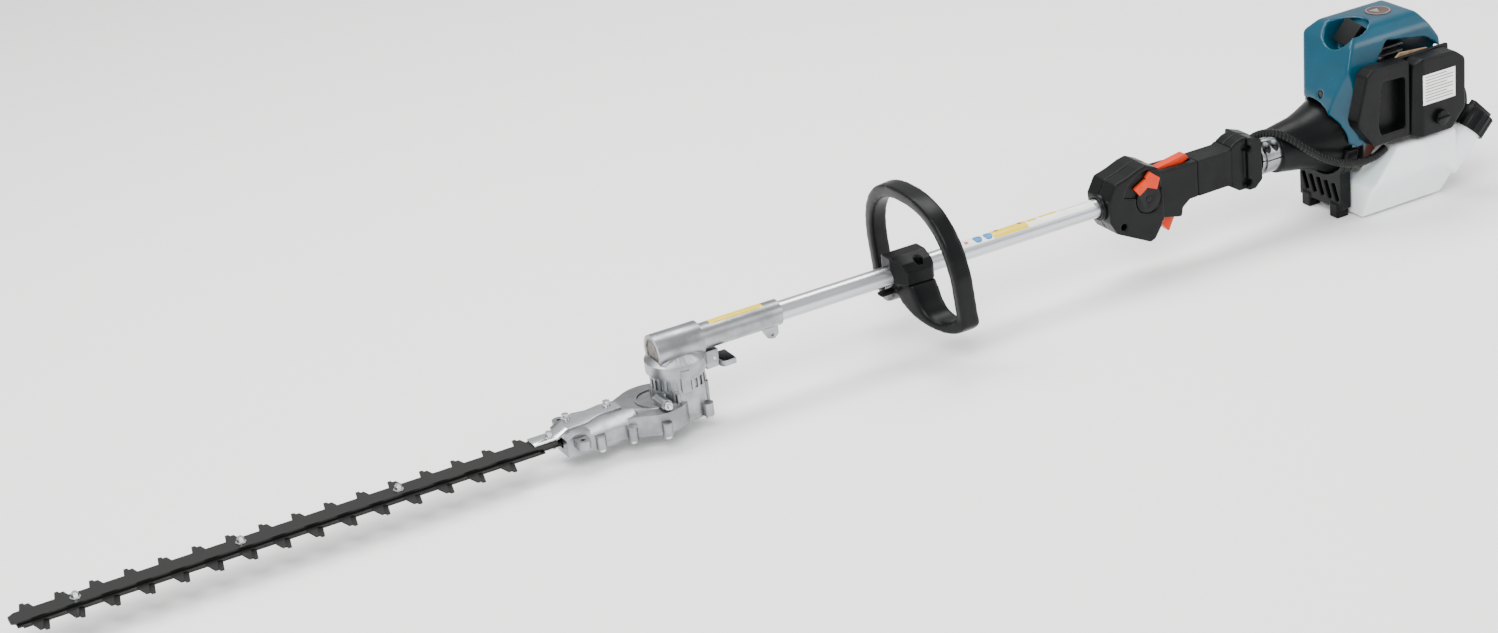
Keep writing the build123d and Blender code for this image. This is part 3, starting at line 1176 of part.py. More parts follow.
# ---------------------------------------------------------------- writing the parts
def main():
    os.makedirs("parts", exist_ok=True)
    save("pole_tube", pole_tube())
    save("shaft_bushes", *shaft_bushes())
    save("drive_shaft", drive_shaft())
    save("bevel_pinion", bevel_pinion())
    save("bevel_gear", bevel_gear())
    save("cross_shaft", cross_shaft())
    save("crank_gear", crank_gear())
    for side, name in ((1, "upper"), (-1, "lower")):
        save(f"{name}_rod", blade_rod(side))
        save(f"{name}_blade", blade(side))
    save("guide_bar", guide_bar())
    save("guide_stay", guide_stay())
    save("blade_bolts", *blade_bolts())
    save("gear_case", gear_case())
    save("gear_case_cover", gear_case_cover())
    save("case_screws", *case_screws())
    save("grease_nipples", *grease_nipples())
    save("pole_holder", pole_holder())
    save("end_plug", end_plug())
    save("lock_lever", lock_lever())
    save("lever_pad", lever_pad())
    save("lever_pin", lever_pin())
    save("loop_handle", loop_handle())
    save("handle_cap", handle_cap())
    save("housing_screws", *housing_screws())
    save("trigger_shell_near", trigger_shell(-1))
    save("trigger_shell_far", trigger_shell(1))
    save("rear_grip", rear_grip())
    save("throttle_trigger", throttle_trigger())
    save("lock_off_lever", lock_off_lever())
    save("stop_switch", stop_switch())
    save("pole_clamp", pole_clamp())
    save("clamp_screws", *clamp_screws())
    save("clutch_housing", clutch_housing())
    save("clutch_drum", clutch_drum())
    save("clutch_shoes", *clutch_shoes())
    save("crankshaft", crankshaft())
    save("flywheel", flywheel())
    save("crankcase", crankcase())
    save("cylinder", cylinder())
    save("spark_plug", spark_plug())
    save("plug_boot", plug_boot())
    save("engine_cover", engine_cover())
    save("muffler", muffler())
    save("heat_plate", heat_plate())
    save("carburettor", carburettor())
    save("air_cleaner_base", air_cleaner_base())
    save("air_filter", air_filter())
    save("air_cleaner_cover", air_cleaner_cover())
    save("air_cover_knob", air_cover_knob())
    save("lower_shroud", lower_shroud())
    save("fuel_tank", fuel_tank())
    save("fuel_cap", fuel_cap())
    save("starter_housing", starter_housing())
    save("starter_pulley", starter_pulley())
    save("starter_grip", starter_grip())
    save("choke_lever", choke_lever())
    save("primer_bulb", primer_bulb())
    save("throttle_conduit", throttle_conduit())
    print("conduit bend radii", [round(radius, 1) for radius in conduit_radii(conduit_route())])


main()
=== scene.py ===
import json
from math import atan2, degrees, radians

import bpy
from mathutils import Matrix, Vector


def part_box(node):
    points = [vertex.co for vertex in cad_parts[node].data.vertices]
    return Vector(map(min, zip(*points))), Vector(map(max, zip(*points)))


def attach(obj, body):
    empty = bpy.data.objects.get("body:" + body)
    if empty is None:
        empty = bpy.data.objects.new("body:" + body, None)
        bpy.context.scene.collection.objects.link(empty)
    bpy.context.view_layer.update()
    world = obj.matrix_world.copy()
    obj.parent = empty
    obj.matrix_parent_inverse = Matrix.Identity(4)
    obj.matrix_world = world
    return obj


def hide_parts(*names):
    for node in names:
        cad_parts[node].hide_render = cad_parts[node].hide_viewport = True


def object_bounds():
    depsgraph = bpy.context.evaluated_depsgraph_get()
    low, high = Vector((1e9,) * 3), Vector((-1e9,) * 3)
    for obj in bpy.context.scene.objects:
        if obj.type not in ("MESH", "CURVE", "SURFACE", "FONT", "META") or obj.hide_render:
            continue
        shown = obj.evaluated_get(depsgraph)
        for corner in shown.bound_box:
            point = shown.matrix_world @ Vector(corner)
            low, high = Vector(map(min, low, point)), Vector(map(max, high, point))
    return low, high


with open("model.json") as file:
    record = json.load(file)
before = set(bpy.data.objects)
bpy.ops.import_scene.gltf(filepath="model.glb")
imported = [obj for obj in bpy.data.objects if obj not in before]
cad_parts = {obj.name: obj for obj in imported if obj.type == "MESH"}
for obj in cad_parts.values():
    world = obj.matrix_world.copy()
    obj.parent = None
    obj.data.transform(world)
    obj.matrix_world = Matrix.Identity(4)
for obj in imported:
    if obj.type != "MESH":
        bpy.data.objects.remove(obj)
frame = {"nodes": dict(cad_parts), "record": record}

bl_info = {
    "name": "Pole hedge trimmer",
    "version": (1, 0, 0),
    "blender": (4, 2, 0),
    "location": "View3D > Sidebar > Trimmer",
    "description": "Builds the looks of a pole hedge trimmer around its CAD frame",
    "category": "Object",
}

CAD_BOX = [list(corner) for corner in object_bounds()]
MM = 0.001
WELD = 0.002 * MM
FLAT_ANGLE = radians(0.4)
SHARP_ANGLE = radians(32)
SHADE_ANGLE = radians(38)
METAL = 1.0
HALF_METAL = 0.6
NO_METAL = 0.0
CONDUIT_PITCH = 3.6


# ------------------------------------------------------------------ selection and modelling helpers
def only(piece):
    """Make this the one selected and active object."""
    bpy.ops.object.select_all(action="DESELECT")
    piece.select_set(True)
    bpy.context.view_layer.objects.active = piece


def edit(piece):
    """Open this piece in edit mode with all its faces selected."""
    only(piece)
    bpy.ops.object.mode_set(mode="EDIT")
    bpy.ops.mesh.select_mode(type="FACE")
    bpy.ops.mesh.select_all(action="SELECT")


def leave_edit():
    """Go back to object mode."""
    bpy.ops.object.mode_set(mode="OBJECT")


def copy_of(node, name):
    """A merged copy of a CAD node, ready to be worked on."""
    only(frame["nodes"][node])
    bpy.ops.object.duplicate()
    piece = bpy.context.active_object
    piece.name = name
    piece.data.name = name
    for key in list(piece.keys()):
        del piece[key]
    piece.parent = None
    piece.data.materials.clear()
    bpy.ops.mesh.customdata_custom_splitnormals_clear()
    edit(piece)
    bpy.ops.mesh.remove_doubles(threshold=WELD)
    bpy.ops.mesh.dissolve_limited(angle_limit=FLAT_ANGLE)
    leave_edit()
    return piece


def modify(piece, kind, **settings):
    """Add a modifier with these settings and apply it."""
    only(piece)
    modifier = piece.modifiers.new(kind, kind)
    for name, value in settings.items():
        setattr(modifier, name, value)
    bpy.ops.object.modifier_apply(modifier=modifier.name)


def shade(piece):
    """Smooth the shading across all but the crisp edges."""
    only(piece)
    bpy.ops.object.shade_smooth_by_angle(angle=SHADE_ANGLE)


def soften(piece, width_mm, segments):
    """Round the piece's sharp edges by this radius and smooth its shading."""
    if width_mm:
        modify(piece, "BEVEL", width=width_mm * MM, segments=segments, limit_method="ANGLE",
               angle_limit=SHARP_ANGLE, use_clamp_overlap=True, miter_outer="MITER_ARC")
    shade(piece)


def pillow(piece, step_mm, rounds, keep):
    """Round a moulded piece all over: even mesh, relaxed edges, then fewer faces."""
    modify(piece, "REMESH", mode="VOXEL", voxel_size=step_mm * MM)
    modify(piece, "SMOOTH", factor=0.5, iterations=rounds)
    modify(piece, "DECIMATE", ratio=keep)
    only(piece)
    bpy.ops.object.shade_smooth()


def carve(piece, cutter, how="DIFFERENCE"):
    """Cut with, or join, another solid and throw that one away."""
    modify(piece, "BOOLEAN", object=cutter, operation=how, solver="EXACT")
    bpy.data.objects.remove(cutter)


def seal(piece):
    """Put a new primitive's place into its mesh."""
    only(piece)
    bpy.ops.object.transform_apply(location=True, rotation=True, scale=True)


def box_piece(name, low, high):
    """A block between two corners."""
    low, high = Vector(low), Vector(high)
    bpy.ops.mesh.primitive_cube_add(size=1, location=(low + high) / 2)
    piece = bpy.context.active_object
    piece.name = name
    piece.scale = high - low
    seal(piece)
    return piece


def rod_piece(name, start, end, radius, sides):
    """A straight rod between two points."""
    start, end = Vector(start), Vector(end)
    axis = end - start
    turn = axis.to_track_quat("Z", "Y").to_euler()
    bpy.ops.mesh.primitive_cone_add(vertices=sides, radius1=radius, radius2=radius, depth=axis.length,
                                    location=(start + end) / 2, rotation=turn)
    piece = bpy.context.active_object
    piece.name = name
    seal(piece)
    return piece


def pick_faces(piece, wanted):
    """Select the faces for which wanted(centre, normal) is true, in edit mode."""
    edit(piece)
    bpy.ops.mesh.select_all(action="DESELECT")
    leave_edit()
    for face in piece.data.polygons:
        face.select = bool(wanted(face.center, face.normal))
    bpy.ops.object.mode_set(mode="EDIT")


def join(pieces, name):
    """Make one object of several."""
    bpy.ops.object.select_all(action="DESELECT")
    for piece in pieces:
        piece.select_set(True)
    bpy.context.view_layer.objects.active = pieces[0]
    bpy.ops.object.join()
    pieces[0].name = name
    return pieces[0]


def place(piece, body, finish, slot, *nodes):
    """Give a finished piece its body and material, and hide the CAD nodes it stands for."""
    if finish is not None:
        piece.data.materials.clear()
        piece.data.materials.append(finish)
    if nodes:
        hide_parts(*nodes)
    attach(piece, body)
    return piece


# ------------------------------------------------------------------ what the frame says
def slot_of(name):
    """The material slot of a CAD node."""
    return next(part["material_slot"] for part in frame["record"]["subparts"] if part["node"] == name)


def body_with(name):
    """The moving body that a CAD node belongs to."""
    bodies = frame["record"]["behaviour"]["bodies"]
    return next(body for body, names in bodies.items() if name in names)


def joint_place(name):
    """Where a joint turns, in metres."""
    joints = frame["record"]["behaviour"]["joints"]
    return Vector(next(joint["pos_m"] for joint in joints if joint["name"] == name))


def pole_radius():
    """The pole's radius in mm."""
    low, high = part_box("pole_tube")
    return (high[2] - low[2]) / 2 / MM


# ------------------------------------------------------------------ materials
def linear(code):
    """sRGB hex to linear RGBA."""
    channels = [int(code[i:i + 2], 16) / 255 for i in (0, 2, 4)]
    return tuple(c / 12.92 if c <= 0.04045 else ((c + 0.055) / 1.055) ** 2.4 for c in channels) + (1.0,)


def node(tree, kind, inputs, **settings):
    """Add a shader node with its settings and its inputs' values or links."""
    made = tree.nodes.new(kind)
    for name, value in settings.items():
        setattr(made, name, value)
    for key, value in inputs.items():
        if isinstance(value, bpy.types.NodeSocket):
            tree.links.new(value, made.inputs[key])
        else:
            made.inputs[key].default_value = value
    return made


def noise(tree, place_of, size_mm, detail):
    """A noise texture whose features are this many mm wide."""
    inputs = {"Vector": place_of.outputs[0], "Scale": 1000 / size_mm, "Detail": detail}
    return node(tree, "ShaderNodeTexNoise", inputs)


def surface(name, light, dark, metallic, gloss, grain, patch_mm=25.0, stretch=(1, 1, 1), ribs_mm=0.0,
            shader=None):
    """One finish: two close colours in soft patches, uneven gloss and a fine relief of real size.

    gloss is (roughness, how far it wanders), grain is (width in mm, height in mm).
    """
    roughness, spread = gloss
    grain_mm, relief_mm = grain
    material = bpy.data.materials.new(name)
    material.use_nodes = True
    tree = material.node_tree
    tree.nodes.clear()
    where = node(tree, "ShaderNodeTexCoord", {})
    place_of = node(tree, "ShaderNodeMapping", {"Vector": where.outputs["Object"], "Scale": stretch})
    patches = noise(tree, place_of, patch_mm, 4.0)
    skin = noise(tree, place_of, grain_mm, 2.0)
    ramp = node(tree, "ShaderNodeValToRGB", {"Fac": patches.outputs["Fac"]})
    ramp.color_ramp.elements[0].position = 0.35
    ramp.color_ramp.elements[1].position = 0.65
    ramp.color_ramp.elements[0].color = linear(light)
    ramp.color_ramp.elements[1].color = linear(dark)
    wander = {"Value": patches.outputs["Fac"], "From Min": 0.3, "From Max": 0.7,
              "To Min": roughness - spread, "To Max": roughness + spread}
    sheen = node(tree, "ShaderNodeMapRange", wander)
    height = {"Height": skin.outputs["Fac"], "Distance": relief_mm * MM, "Strength": 1.0}
    relief = node(tree, "ShaderNodeBump", height)
    if ribs_mm:
        # one band of the wave texture is 0.314 / scale long, in metres
        wave = {"Vector": where.outputs["Object"], "Scale": 0.314 / (ribs_mm * MM)}
        bands = node(tree, "ShaderNodeTexWave", wave, bands_direction="X")
        height = {"Height": bands.outputs["Fac"], "Distance": 0.3 * ribs_mm * MM, "Strength": 1.0,
                  "Normal": relief.outputs["Normal"]}
        relief = node(tree, "ShaderNodeBump", height)
    inputs = {"Base Color": ramp.outputs["Color"], "Roughness": sheen.outputs["Result"],
              "Metallic": metallic, "Normal": relief.outputs["Normal"]}
    inputs.update(shader or {})
    principled = node(tree, "ShaderNodeBsdfPrincipled", inputs)
    node(tree, "ShaderNodeOutputMaterial", {"Surface": principled.outputs[0]})
    return material


def make_finishes(look):
    """All the machine's finishes by name."""
    made = {}
    # Anodised drawn aluminium tube: pale, satin, with faint lines along the draw direction.
    made["pole_aluminium"] = surface("anodised_drawn_aluminium", "CFD1D3", "C2C5C8", METAL, (0.28, 0.04),
                                     (0.5, 0.004), stretch=(0.02, 1, 1))
    # Shot-blasted aluminium die casting: mid grey, dull, with a fine pebble skin.
    made["cast_aluminium"] = surface("blasted_aluminium_casting", "9FA1A3", "808285", METAL, (0.34, 0.06),
                                     (0.9, 0.03))
    # Black-oxide tool steel: brown-black and oily, with a soft sheen.
    made["blade_steel"] = surface("black_oxide_tool_steel", "100F0E", "0A0909", NO_METAL, (0.38, 0.07),
                                  (0.8, 0.012), shader={"Specular IOR Level": 0.35})
    # Zinc plate on bolts and the guide bar: the brightest, sharpest glints.
    made["bright_steel"] = surface("zinc_plated_steel", "D6D9DB", "BFC2C4", METAL, (0.24, 0.05), (0.6, 0.006))
    # Oiled gears: a dark, wet grey.
    made["gear_steel"] = surface("oiled_gear_steel", "84868A", "6C6E72", METAL, (0.33, 0.05), (0.6, 0.006))
    # Turned shafts: a cleaner grey than the gears.
    made["shaft_steel"] = surface("turned_shaft_steel", "96989B", "7E8083", METAL, (0.3, 0.05), (0.5, 0.006))
    # Glass-filled nylon, moulded with a fine spark-eroded grain: black, low sheen.
    made["black_plastic"] = surface("grained_black_nylon", look.plastic_hex, "060708", NO_METAL, (0.36, 0.05),
                                    (0.8, 0.012), shader={"Specular IOR Level": 0.16})
    # Blackened screws: small dark dots with a metal glint.
    made["black_screw"] = surface("black_oxide_screw", "1A1A1B", "101011", HALF_METAL, (0.36, 0.05),
                                  (0.6, 0.004))
    # Moulded rubber: the dullest black on the handle.
    made["grip_rubber"] = surface("moulded_rubber", "0C0D0E", "08090A", NO_METAL, (0.5, 0.06), (0.9, 0.02),
                                  shader={"Specular IOR Level": 0.18})
    # Rubber bushes inside the pole: dull and a little dusty.
    made["bush_rubber"] = surface("rubber_bush", "1A1A1A", "111111", NO_METAL, (0.6, 0.05), (0.9, 0.02))
    # ABS moulded in orange, bright, half gloss.
    made["orange_plastic"] = surface("orange_abs", look.control_hex, "C22E0A", NO_METAL, (0.42, 0.04),
                                     (0.8, 0.008), shader={"Specular IOR Level": 0.2})
    # ABS hood in deep blue-green under a thin clear gloss.
    made["blue_cover"] = surface("glossy_blue_abs", look.cover_hex, "01394B", NO_METAL, (0.3, 0.03),
                                 (1.6, 0.006), 60.0,
                                 shader={"Specular IOR Level": 0.3, "Coat Weight": 0.1,
                                         "Coat Roughness": 0.15})
    # Blow-moulded natural polyethylene: milky white, waxy, light passes into it.
    made["tank_plastic"] = surface("natural_polyethylene", "F4F6F7", "ECEFF0", NO_METAL, (0.36, 0.04),
                                   (2.5, 0.02), 60.0,
                                   shader={"Subsurface Weight": 0.35, "Subsurface Scale": 0.008})
    # Pressed fibre board: tan, fibrous and quite matt.
    made["gasket_board"] = surface("pressed_fibre_board", "8E7657", "755F45", NO_METAL, (0.8, 0.05),
                                   (0.7, 0.05), 6.0)
    # Filter felt: cream, with the roughest nap of all.
    made["filter_felt"] = surface("filter_felt", "D8D0B0", "C4BB9A", NO_METAL, (0.95, 0.03), (0.5, 0.1), 5.0)
    # Glazed ceramic: hard white shine.
    made["plug_ceramic"] = surface("glazed_ceramic", "F0EFEA", "E4E2DC", NO_METAL, (0.15, 0.03), (2.0, 0.002))
    # Muffler sheet: brown and blue-grey from heat.
    made["muffler_steel"] = surface("heat_tinted_steel", "7A746D", "5C564F", METAL, (0.42, 0.07),
                                    (0.8, 0.01), 12.0)
    # Zinc end cap: grey-brown and mottled.
    made["grey_cap"] = surface("grey_zinc_cap", "77736D", "56524C", HALF_METAL, (0.5, 0.08), (1.2, 0.03), 5.0)
    # Primer bulb: pale, smooth and slightly yellow.
    made["primer_plastic"] = surface("clear_bulb_rubber", "D9D6C8", "C8C4B2", NO_METAL, (0.3, 0.03),
                                     (1.0, 0.004))
    # Corrugated conduit: even black ribs that catch the light one by one.
    made["conduit_plastic"] = surface("black_polyamide_conduit", "0A0B0C", "060708", NO_METAL, (0.34, 0.05),
                                      (0.8, 0.01), ribs_mm=CONDUIT_PITCH,
                                      shader={"Specular IOR Level": 0.25})
    # Vinyl labels and the inks on them: flat colour under a soft film gloss.
    for slot, name, light, dark, rough in (
            ("yellow_label", "yellow_vinyl", "EBCB04", "DFC002", 0.35),
            ("white_label", "white_vinyl", "F4F4F2", "E9E9E6", 0.35),
            ("grey_print", "grey_print", "56585C", "4A4C50", 0.4),
            ("brown_print", "brown_print", "4A342C", "3E2B24", 0.4),
            ("orange_print", "orange_print", "D8400F", "CC380C", 0.4),
            ("blue_print", "blue_print", "2A78B0", "256EA4", 0.4)):
        made[slot] = surface(name, light, dark, NO_METAL, (rough, 0.03), (1.0, 0.002))
    return made


FINISHES = {}

# Pieces with softened edges: edge radius in mm, segments
EDGES = {
    "pole_tube": (0.4, 1), "pole_holder": (1.2, 3), "end_plug": (0.5, 2), "lever_pin": (0.3, 1),
    "lock_lever": (1.0, 2), "lever_pad": (0.8, 2), "gear_case": (1.2, 3), "gear_case_cover": (0.8, 2),
    "case_screws": (0.4, 2), "grease_nipples": (0.5, 2), "guide_bar": (0.5, 1), "guide_stay": (0.5, 2),
    "blade_bolts": (0.4, 2), "upper_blade": (0.3, 1), "lower_blade": (0.3, 1), "housing_screws": (0.3, 1),
    "throttle_trigger": (1.5, 3), "lock_off_lever": (1.0, 2), "pole_clamp": (1.0, 3),
    "clamp_screws": (0.5, 2), "clutch_housing": (1.0, 2), "heat_plate": (0.5, 1), "air_cover_knob": (1.0, 2),
    "plug_boot": (3.0, 3), "starter_housing": (2.0, 3), "fuel_cap": (0.8, 2), "starter_grip": (0.5, 1),
    "throttle_conduit": (0.0, 1), "crankcase": (1.5, 2), "cylinder": (0.4, 1), "muffler": (2.0, 2),
    "carburettor": (1.0, 2),
}

# Pieces rounded all over: mesh step in mm, rounds of relaxing, share of faces kept
PILLOWS = {
    "lower_shroud": (0.9, 6, 0.5), "loop_handle": (1.3, 60, 0.5), "handle_cap": (0.8, 8, 0.5),
    "trigger_shell_near": (0.9, 20, 0.5), "trigger_shell_far": (0.9, 20, 0.5), "rear_grip": (0.8, 8, 0.5),
    "engine_cover": (1.1, 50, 0.45), "air_cleaner_base": (0.9, 12, 0.5), "air_cleaner_cover": (1.0, 36, 0.5),
    "fuel_tank": (1.3, 30, 0.5),
}

# Labels around the pole: name, front and rear end in mm, lift off the tube in mm, lower and upper angle
# in degrees with 90 on top, finish
POLE_LABELS = (
    ("pole_label", 200, 415, 0.0, 38, 146, "white_label"),
    ("pole_label_yellow", 268, 318, 0.1, 40, 128, "yellow_label"),
    ("pole_label_flash_a", 321, 334, 0.1, 76, 104, "yellow_label"),
    ("pole_label_flash_b", 339, 364, 0.1, 82, 118, "yellow_label"),
    ("pole_label_lines", 370, 410, 0.1, 84, 87, "grey_print"),
    ("pole_label_bar_a", 274, 279, 0.2, 88, 118, "brown_print"),
    ("pole_label_bar_b", 308, 313, 0.2, 88, 118, "brown_print"),
)
POLE_SIGNS_X = (247, 262)
SIGN_R = 6
HOLDER_R = 15.8
TUBE_SIDES = 180
FILM = 0.1

# The air cleaner's label and the hood's badge, in mm
AIR_LABEL_X = (861, 913)
AIR_LABEL_Z = (42, 82)
AIR_LINES = 9
AIR_LINE_PITCH = 4
AIR_LINE_HEIGHT = 1.1
BADGE_X = 869
BADGE_R = 17


def dress(name):
    """Stand a softened copy in the place of one CAD node."""
    piece = copy_of(name, name + "_body")
    if name in PILLOWS:
        pillow(piece, *PILLOWS[name])
    else:
        width, segments = EDGES[name]
        soften(piece, width, segments)
    slot = slot_of(name)
    return place(piece, body_with(name), FINISHES[slot], slot, name)


# ------------------------------------------------------------------ user values
class TrimmerLook(bpy.types.PropertyGroup):
    """Colours that a user may change."""
    cover_hex: bpy.props.StringProperty(
        name="Hood colour", description="sRGB hex of the engine hood", default="014257")
    plastic_hex: bpy.props.StringProperty(
        name="Plastic colour", description="sRGB hex of the black parts", default="0A0B0C")
    control_hex: bpy.props.StringProperty(
        name="Control colour", description="sRGB hex of trigger and levers", default="D2370E")
    floor_hex: bpy.props.StringProperty(
        name="Floor colour", description="sRGB hex of the floor", default="FCFCFB")


class TRIMMER_OT_plain_pieces(bpy.types.Operator):
    """Dress the pieces whose shape needs only softened edges"""
    bl_idname = "trimmer.plain_pieces"
    bl_label = "Plain pieces"

    def execute(self, context):
        FINISHES.update(make_finishes(context.scene.trimmer_look))
        for name in sorted(frame["nodes"]):
            if name == "stop_switch":
                continue
            if name in EDGES or name in PILLOWS:
                dress(name)
            else:
                part = frame["nodes"][name]
                part.data.materials.clear()
                part.data.materials.append(FINISHES[slot_of(name)])
        return {"FINISHED"}


class TRIMMER_OT_switch(bpy.types.Operator):
    """Dress the stop switch: black hub with its screw, orange thumb piece"""
    bl_idname = "trimmer.switch"
    bl_label = "Stop switch"

    def execute(self, context):
        hub_r = 18.2 * MM
        body = body_with("stop_switch")
        piece = copy_of("stop_switch", "stop_switch_body")
        soften(piece, 0.8, 2)
        place(piece, body, FINISHES["orange_plastic"], "orange_plastic", "stop_switch")
        piece.data.materials.append(FINISHES["black_plastic"])
        hub = joint_place("stop_switch_turn")
        for face in piece.data.polygons:
            reach = Vector((face.center.x - hub.x, 0, face.center.z - hub.z)).length
            face.material_index = 1 if reach < hub_r else 0
        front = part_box("stop_switch")[0][1]

        def at(depth_mm):
            return (hub.x, front + depth_mm * MM, hub.z)
        screw = rod_piece("switch_screw", at(2.6), at(1.1), 3.6 * MM, 32)
        carve(screw, rod_piece("switch_socket", at(2.2), at(0), 1.8 * MM, 6))
        soften(screw, 0.3, 2)
        place(screw, body, FINISHES["black_screw"], None)
        return {"FINISHED"}


class TRIMMER_OT_nose_ring_and_shade_sheet(bpy.types.Operator):
    """Add the nose ring of the trigger handle and a thin black sheet inside the air intake, painted shade for
    its recess
    """
    bl_idname = "trimmer.linings"
    bl_label = "Nose ring and intake shade sheet"

    def execute(self, context):
        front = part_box("trigger_shell_near")[0][0] / MM
        bore_r = pole_radius() + 0.15

        def at(x):
            return ((front + x) * MM, 0, 0)
        ring = rod_piece("nose_ring", at(-3.5), at(16), (pole_radius() + 5.5) * MM, 64)
        carve(ring, rod_piece("nose_bore", at(-8), at(24), bore_r * MM, 64))
        soften(ring, 2.6, 5)
        place(ring, body_with("trigger_shell_near"), FINISHES["black_plastic"], "black_plastic")
        # A thin black sheet in the air intake's recess: painted shade, standing in for the shadow inside the
        # opening.
        shade_sheet = box_piece("intake_shade_sheet", (795 * MM, -71 * MM, 9 * MM), (846 * MM, -69.5 * MM, 93 * MM))
        place(shade_sheet, body_with("air_cleaner_base"), FINISHES["black_plastic"], "black_plastic")
        return {"FINISHED"}


def wrap_label(name, start, end, radius, low, high, finish):
    """A thin vinyl label around a tube on the X axis, between two angles with 90 on top."""
    piece = rod_piece(name, (start * MM, 0, 0), (end * MM, 0, 0), (radius + 0.12) * MM, TUBE_SIDES)

    def outside(centre, normal):
        angle = degrees(atan2(centre.z, -centre.y))
        return abs(normal.x) > 0.5 or not low < angle < high
    pick_faces(piece, outside)
    bpy.ops.mesh.delete(type="FACE")
    leave_edit()
    modify(piece, "SOLIDIFY", thickness=FILM * MM, offset=-1.0)
    shade(piece)
    return place(piece, body_with("pole_tube"), FINISHES[finish], None)


class TRIMMER_OT_pole_labels(bpy.types.Operator):
    """Stick the plain vinyl labels on the pole and on its holder"""
    bl_idname = "trimmer.pole_labels"
    bl_label = "Pole labels"

    def execute(self, context):
        pole = pole_radius()
        for name, start, end, lift, low, high, finish in POLE_LABELS:
            wrap_label(name, start, end, pole + lift, low, high, finish)
        for number, x in enumerate(POLE_SIGNS_X):
            top = (x * MM, -3 * MM, 20 * MM)
            foot = (x * MM, -3 * MM, 8 * MM)
            disc = rod_piece(f"pole_dot_{number}", top, foot, SIGN_R * MM, 32)
            sign = wrap_label(f"pole_sign_{number}", x - 7, x + 7, pole + 0.1, 45, 135, "blue_print")
            carve(sign, disc, "INTERSECT")
        wrap_label("pole_mark", 228, 233, pole + 0.1, 60, 80, "orange_print")
        wrap_label("holder_label", -121, -51, HOLDER_R, 66, 128, "yellow_label")
        wrap_label("holder_label_line", -117, -55, HOLDER_R + 0.1, 70, 72.5, "brown_print")
        return {"FINISHED"}


class TRIMMER_OT_air_label(bpy.types.Operator):
    """Stick the white label with its plain grey lines on the air cleaner"""
    bl_idname = "trimmer.air_label"
    bl_label = "Air cleaner label"

    def execute(self, context):
        body = body_with("air_cleaner_cover")
        x0, x1 = AIR_LABEL_X
        z0, z1 = AIR_LABEL_Z
        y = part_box("air_cleaner_cover")[0][1]
        sheet = box_piece("air_label", (x0 * MM, y - 0.15 * MM, z0 * MM), (x1 * MM, y + 0.5 * MM, z1 * MM))
        place(sheet, body, FINISHES["white_label"], None)
        lines = []
        for row in range(AIR_LINES):
            z = z1 - (row + 1) * AIR_LINE_PITCH
            end = x1 - 4 if row % 3 else x1 - 14
            low = ((x0 + 4) * MM, y - 0.25 * MM, z * MM)
            lines.append(box_piece("air_line", low, (end * MM, y, (z + AIR_LINE_HEIGHT) * MM)))
        place(join(lines, "air_label_lines"), body, FINISHES["grey_print"], None)
        return {"FINISHED"}


class TRIMMER_OT_badge(bpy.types.Operator):
    """Set the plain ring badge into the crown of the hood"""
    bl_idname = "trimmer.badge"
    bl_label = "Hood badge"

    def execute(self, context):
        body = body_with("engine_cover")
        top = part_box("engine_cover")[1][2]

        def at(lift_mm):
            return (BADGE_X * MM, 0, top + lift_mm * MM)
        disc = rod_piece("hood_badge", at(-1), at(0.6), BADGE_R * MM, 64)
        place(disc, body, FINISHES["brown_print"], None)
        ring = rod_piece("hood_badge_ring", at(0), at(0.8), (BADGE_R - 1.5) * MM, 64)
        carve(ring, rod_piece("ring_hole", at(-1), at(2), (BADGE_R - 2.7) * MM, 64))
        shift = Vector((-3 * MM, 2 * MM, 0))
        wedge = rod_piece("badge_wedge", Vector(at(0)) + shift, Vector(at(0.8)) + shift, 8 * MM, 3)
        place(join([ring, wedge], "hood_badge_sign"), body, FINISHES["bright_steel"], None)
        return {"FINISHED"}


# ------------------------------------------------------------------ stage
# name, place and size in metres, power in watts
LAMPS = (
    ("key_light", (-1.6, -2.0, 2.6), (2.4, 1.6), 140.0),
    ("top_light", (0.2, 0.9, 2.6), (3.6, 1.2), 120.0),
    ("side_light", (2.6, -1.6, 1.2), (1.6, 1.6), 40.0),
)
LAMP_AIM = Vector((0.1, 0, 0))
SKY_STRENGTH = 0.8
CAMERA_PLACE = (-1.35928, -2.68048, 1.34995)
CAMERA_TURN = (65.5316, 6.1521, -28.5179)
CAMERA_LENS = 67.29
SENSOR_WIDTH = 36.0


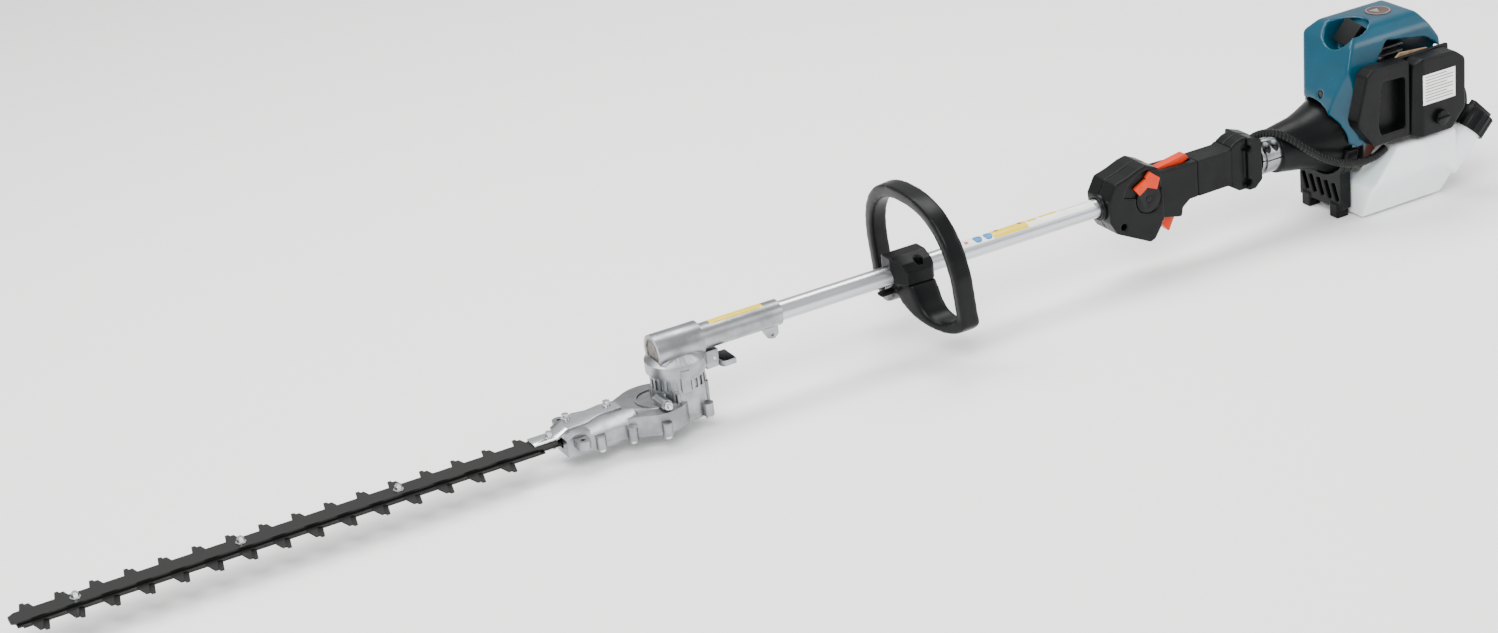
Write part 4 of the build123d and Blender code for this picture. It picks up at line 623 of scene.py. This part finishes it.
class TRIMMER_OT_stage(bpy.types.Operator):
    """Add the floor, the lights and the camera"""
    bl_idname = "trimmer.stage"
    bl_label = "Stage"

    def execute(self, context):
        look = context.scene.trimmer_look
        bpy.ops.mesh.primitive_plane_add(size=60, location=(0, 0, CAD_BOX[0][2]))
        floor = bpy.context.active_object
        floor.name = "floor"
        paint = surface("pale_floor", look.floor_hex, look.floor_hex, NO_METAL, (0.8, 0.02), (50.0, 0.0))
        floor.data.materials.append(paint)
        for name, where, size, power in LAMPS:
            aim = (LAMP_AIM - Vector(where)).to_track_quat("-Z", "Y").to_euler()
            bpy.ops.object.light_add(type="AREA", location=where, rotation=aim)
            lamp = bpy.context.active_object
            lamp.name = name
            lamp.data.shape = "RECTANGLE"
            lamp.data.size, lamp.data.size_y = size
            lamp.data.energy = power
        world = bpy.data.worlds.new("studio")
        world.use_nodes = True
        sky = world.node_tree.nodes["Background"]
        sky.inputs["Color"].default_value = (1, 1, 1, 1)
        sky.inputs["Strength"].default_value = SKY_STRENGTH
        context.scene.world = world
        turn = [radians(angle) for angle in CAMERA_TURN]
        bpy.ops.object.camera_add(location=CAMERA_PLACE, rotation=turn)
        camera = bpy.context.active_object
        camera.name = "product_camera"
        camera.data.lens = CAMERA_LENS
        camera.data.sensor_width = SENSOR_WIDTH
        camera.data.clip_end = 100.0
        context.scene.camera = camera
        return {"FINISHED"}


class TRIMMER_PT_panel(bpy.types.Panel):
    """Lists the steps that build the trimmer"""
    bl_idname = "TRIMMER_PT_panel"
    bl_label = "Hedge trimmer"
    bl_space_type = "VIEW_3D"
    bl_region_type = "UI"
    bl_category = "Trimmer"

    def draw(self, context):
        look = context.scene.trimmer_look
        for name in ("cover_hex", "plastic_hex", "control_hex", "floor_hex"):
            self.layout.prop(look, name)
        for step in STEPS:
            self.layout.operator(step.bl_idname)


STEPS = (TRIMMER_OT_plain_pieces, TRIMMER_OT_switch, TRIMMER_OT_nose_ring_and_shade_sheet, TRIMMER_OT_pole_labels,
         TRIMMER_OT_air_label, TRIMMER_OT_badge, TRIMMER_OT_stage)
CLASSES = (TrimmerLook,) + STEPS + (TRIMMER_PT_panel,)


def register():
    """Add the classes and the scene's values to Blender."""
    for kind in CLASSES:
        bpy.utils.register_class(kind)
    bpy.types.Scene.trimmer_look = bpy.props.PointerProperty(type=TrimmerLook)


def unregister():
    """Take them out again."""
    del bpy.types.Scene.trimmer_look
    for kind in reversed(CLASSES):
        bpy.utils.unregister_class(kind)


def main():
    """Run every step in turn."""
    register()
    for step in STEPS:
        group, name = step.bl_idname.split(".")
        getattr(getattr(bpy.ops, group), name)()


if __name__ == "__main__":
    main()
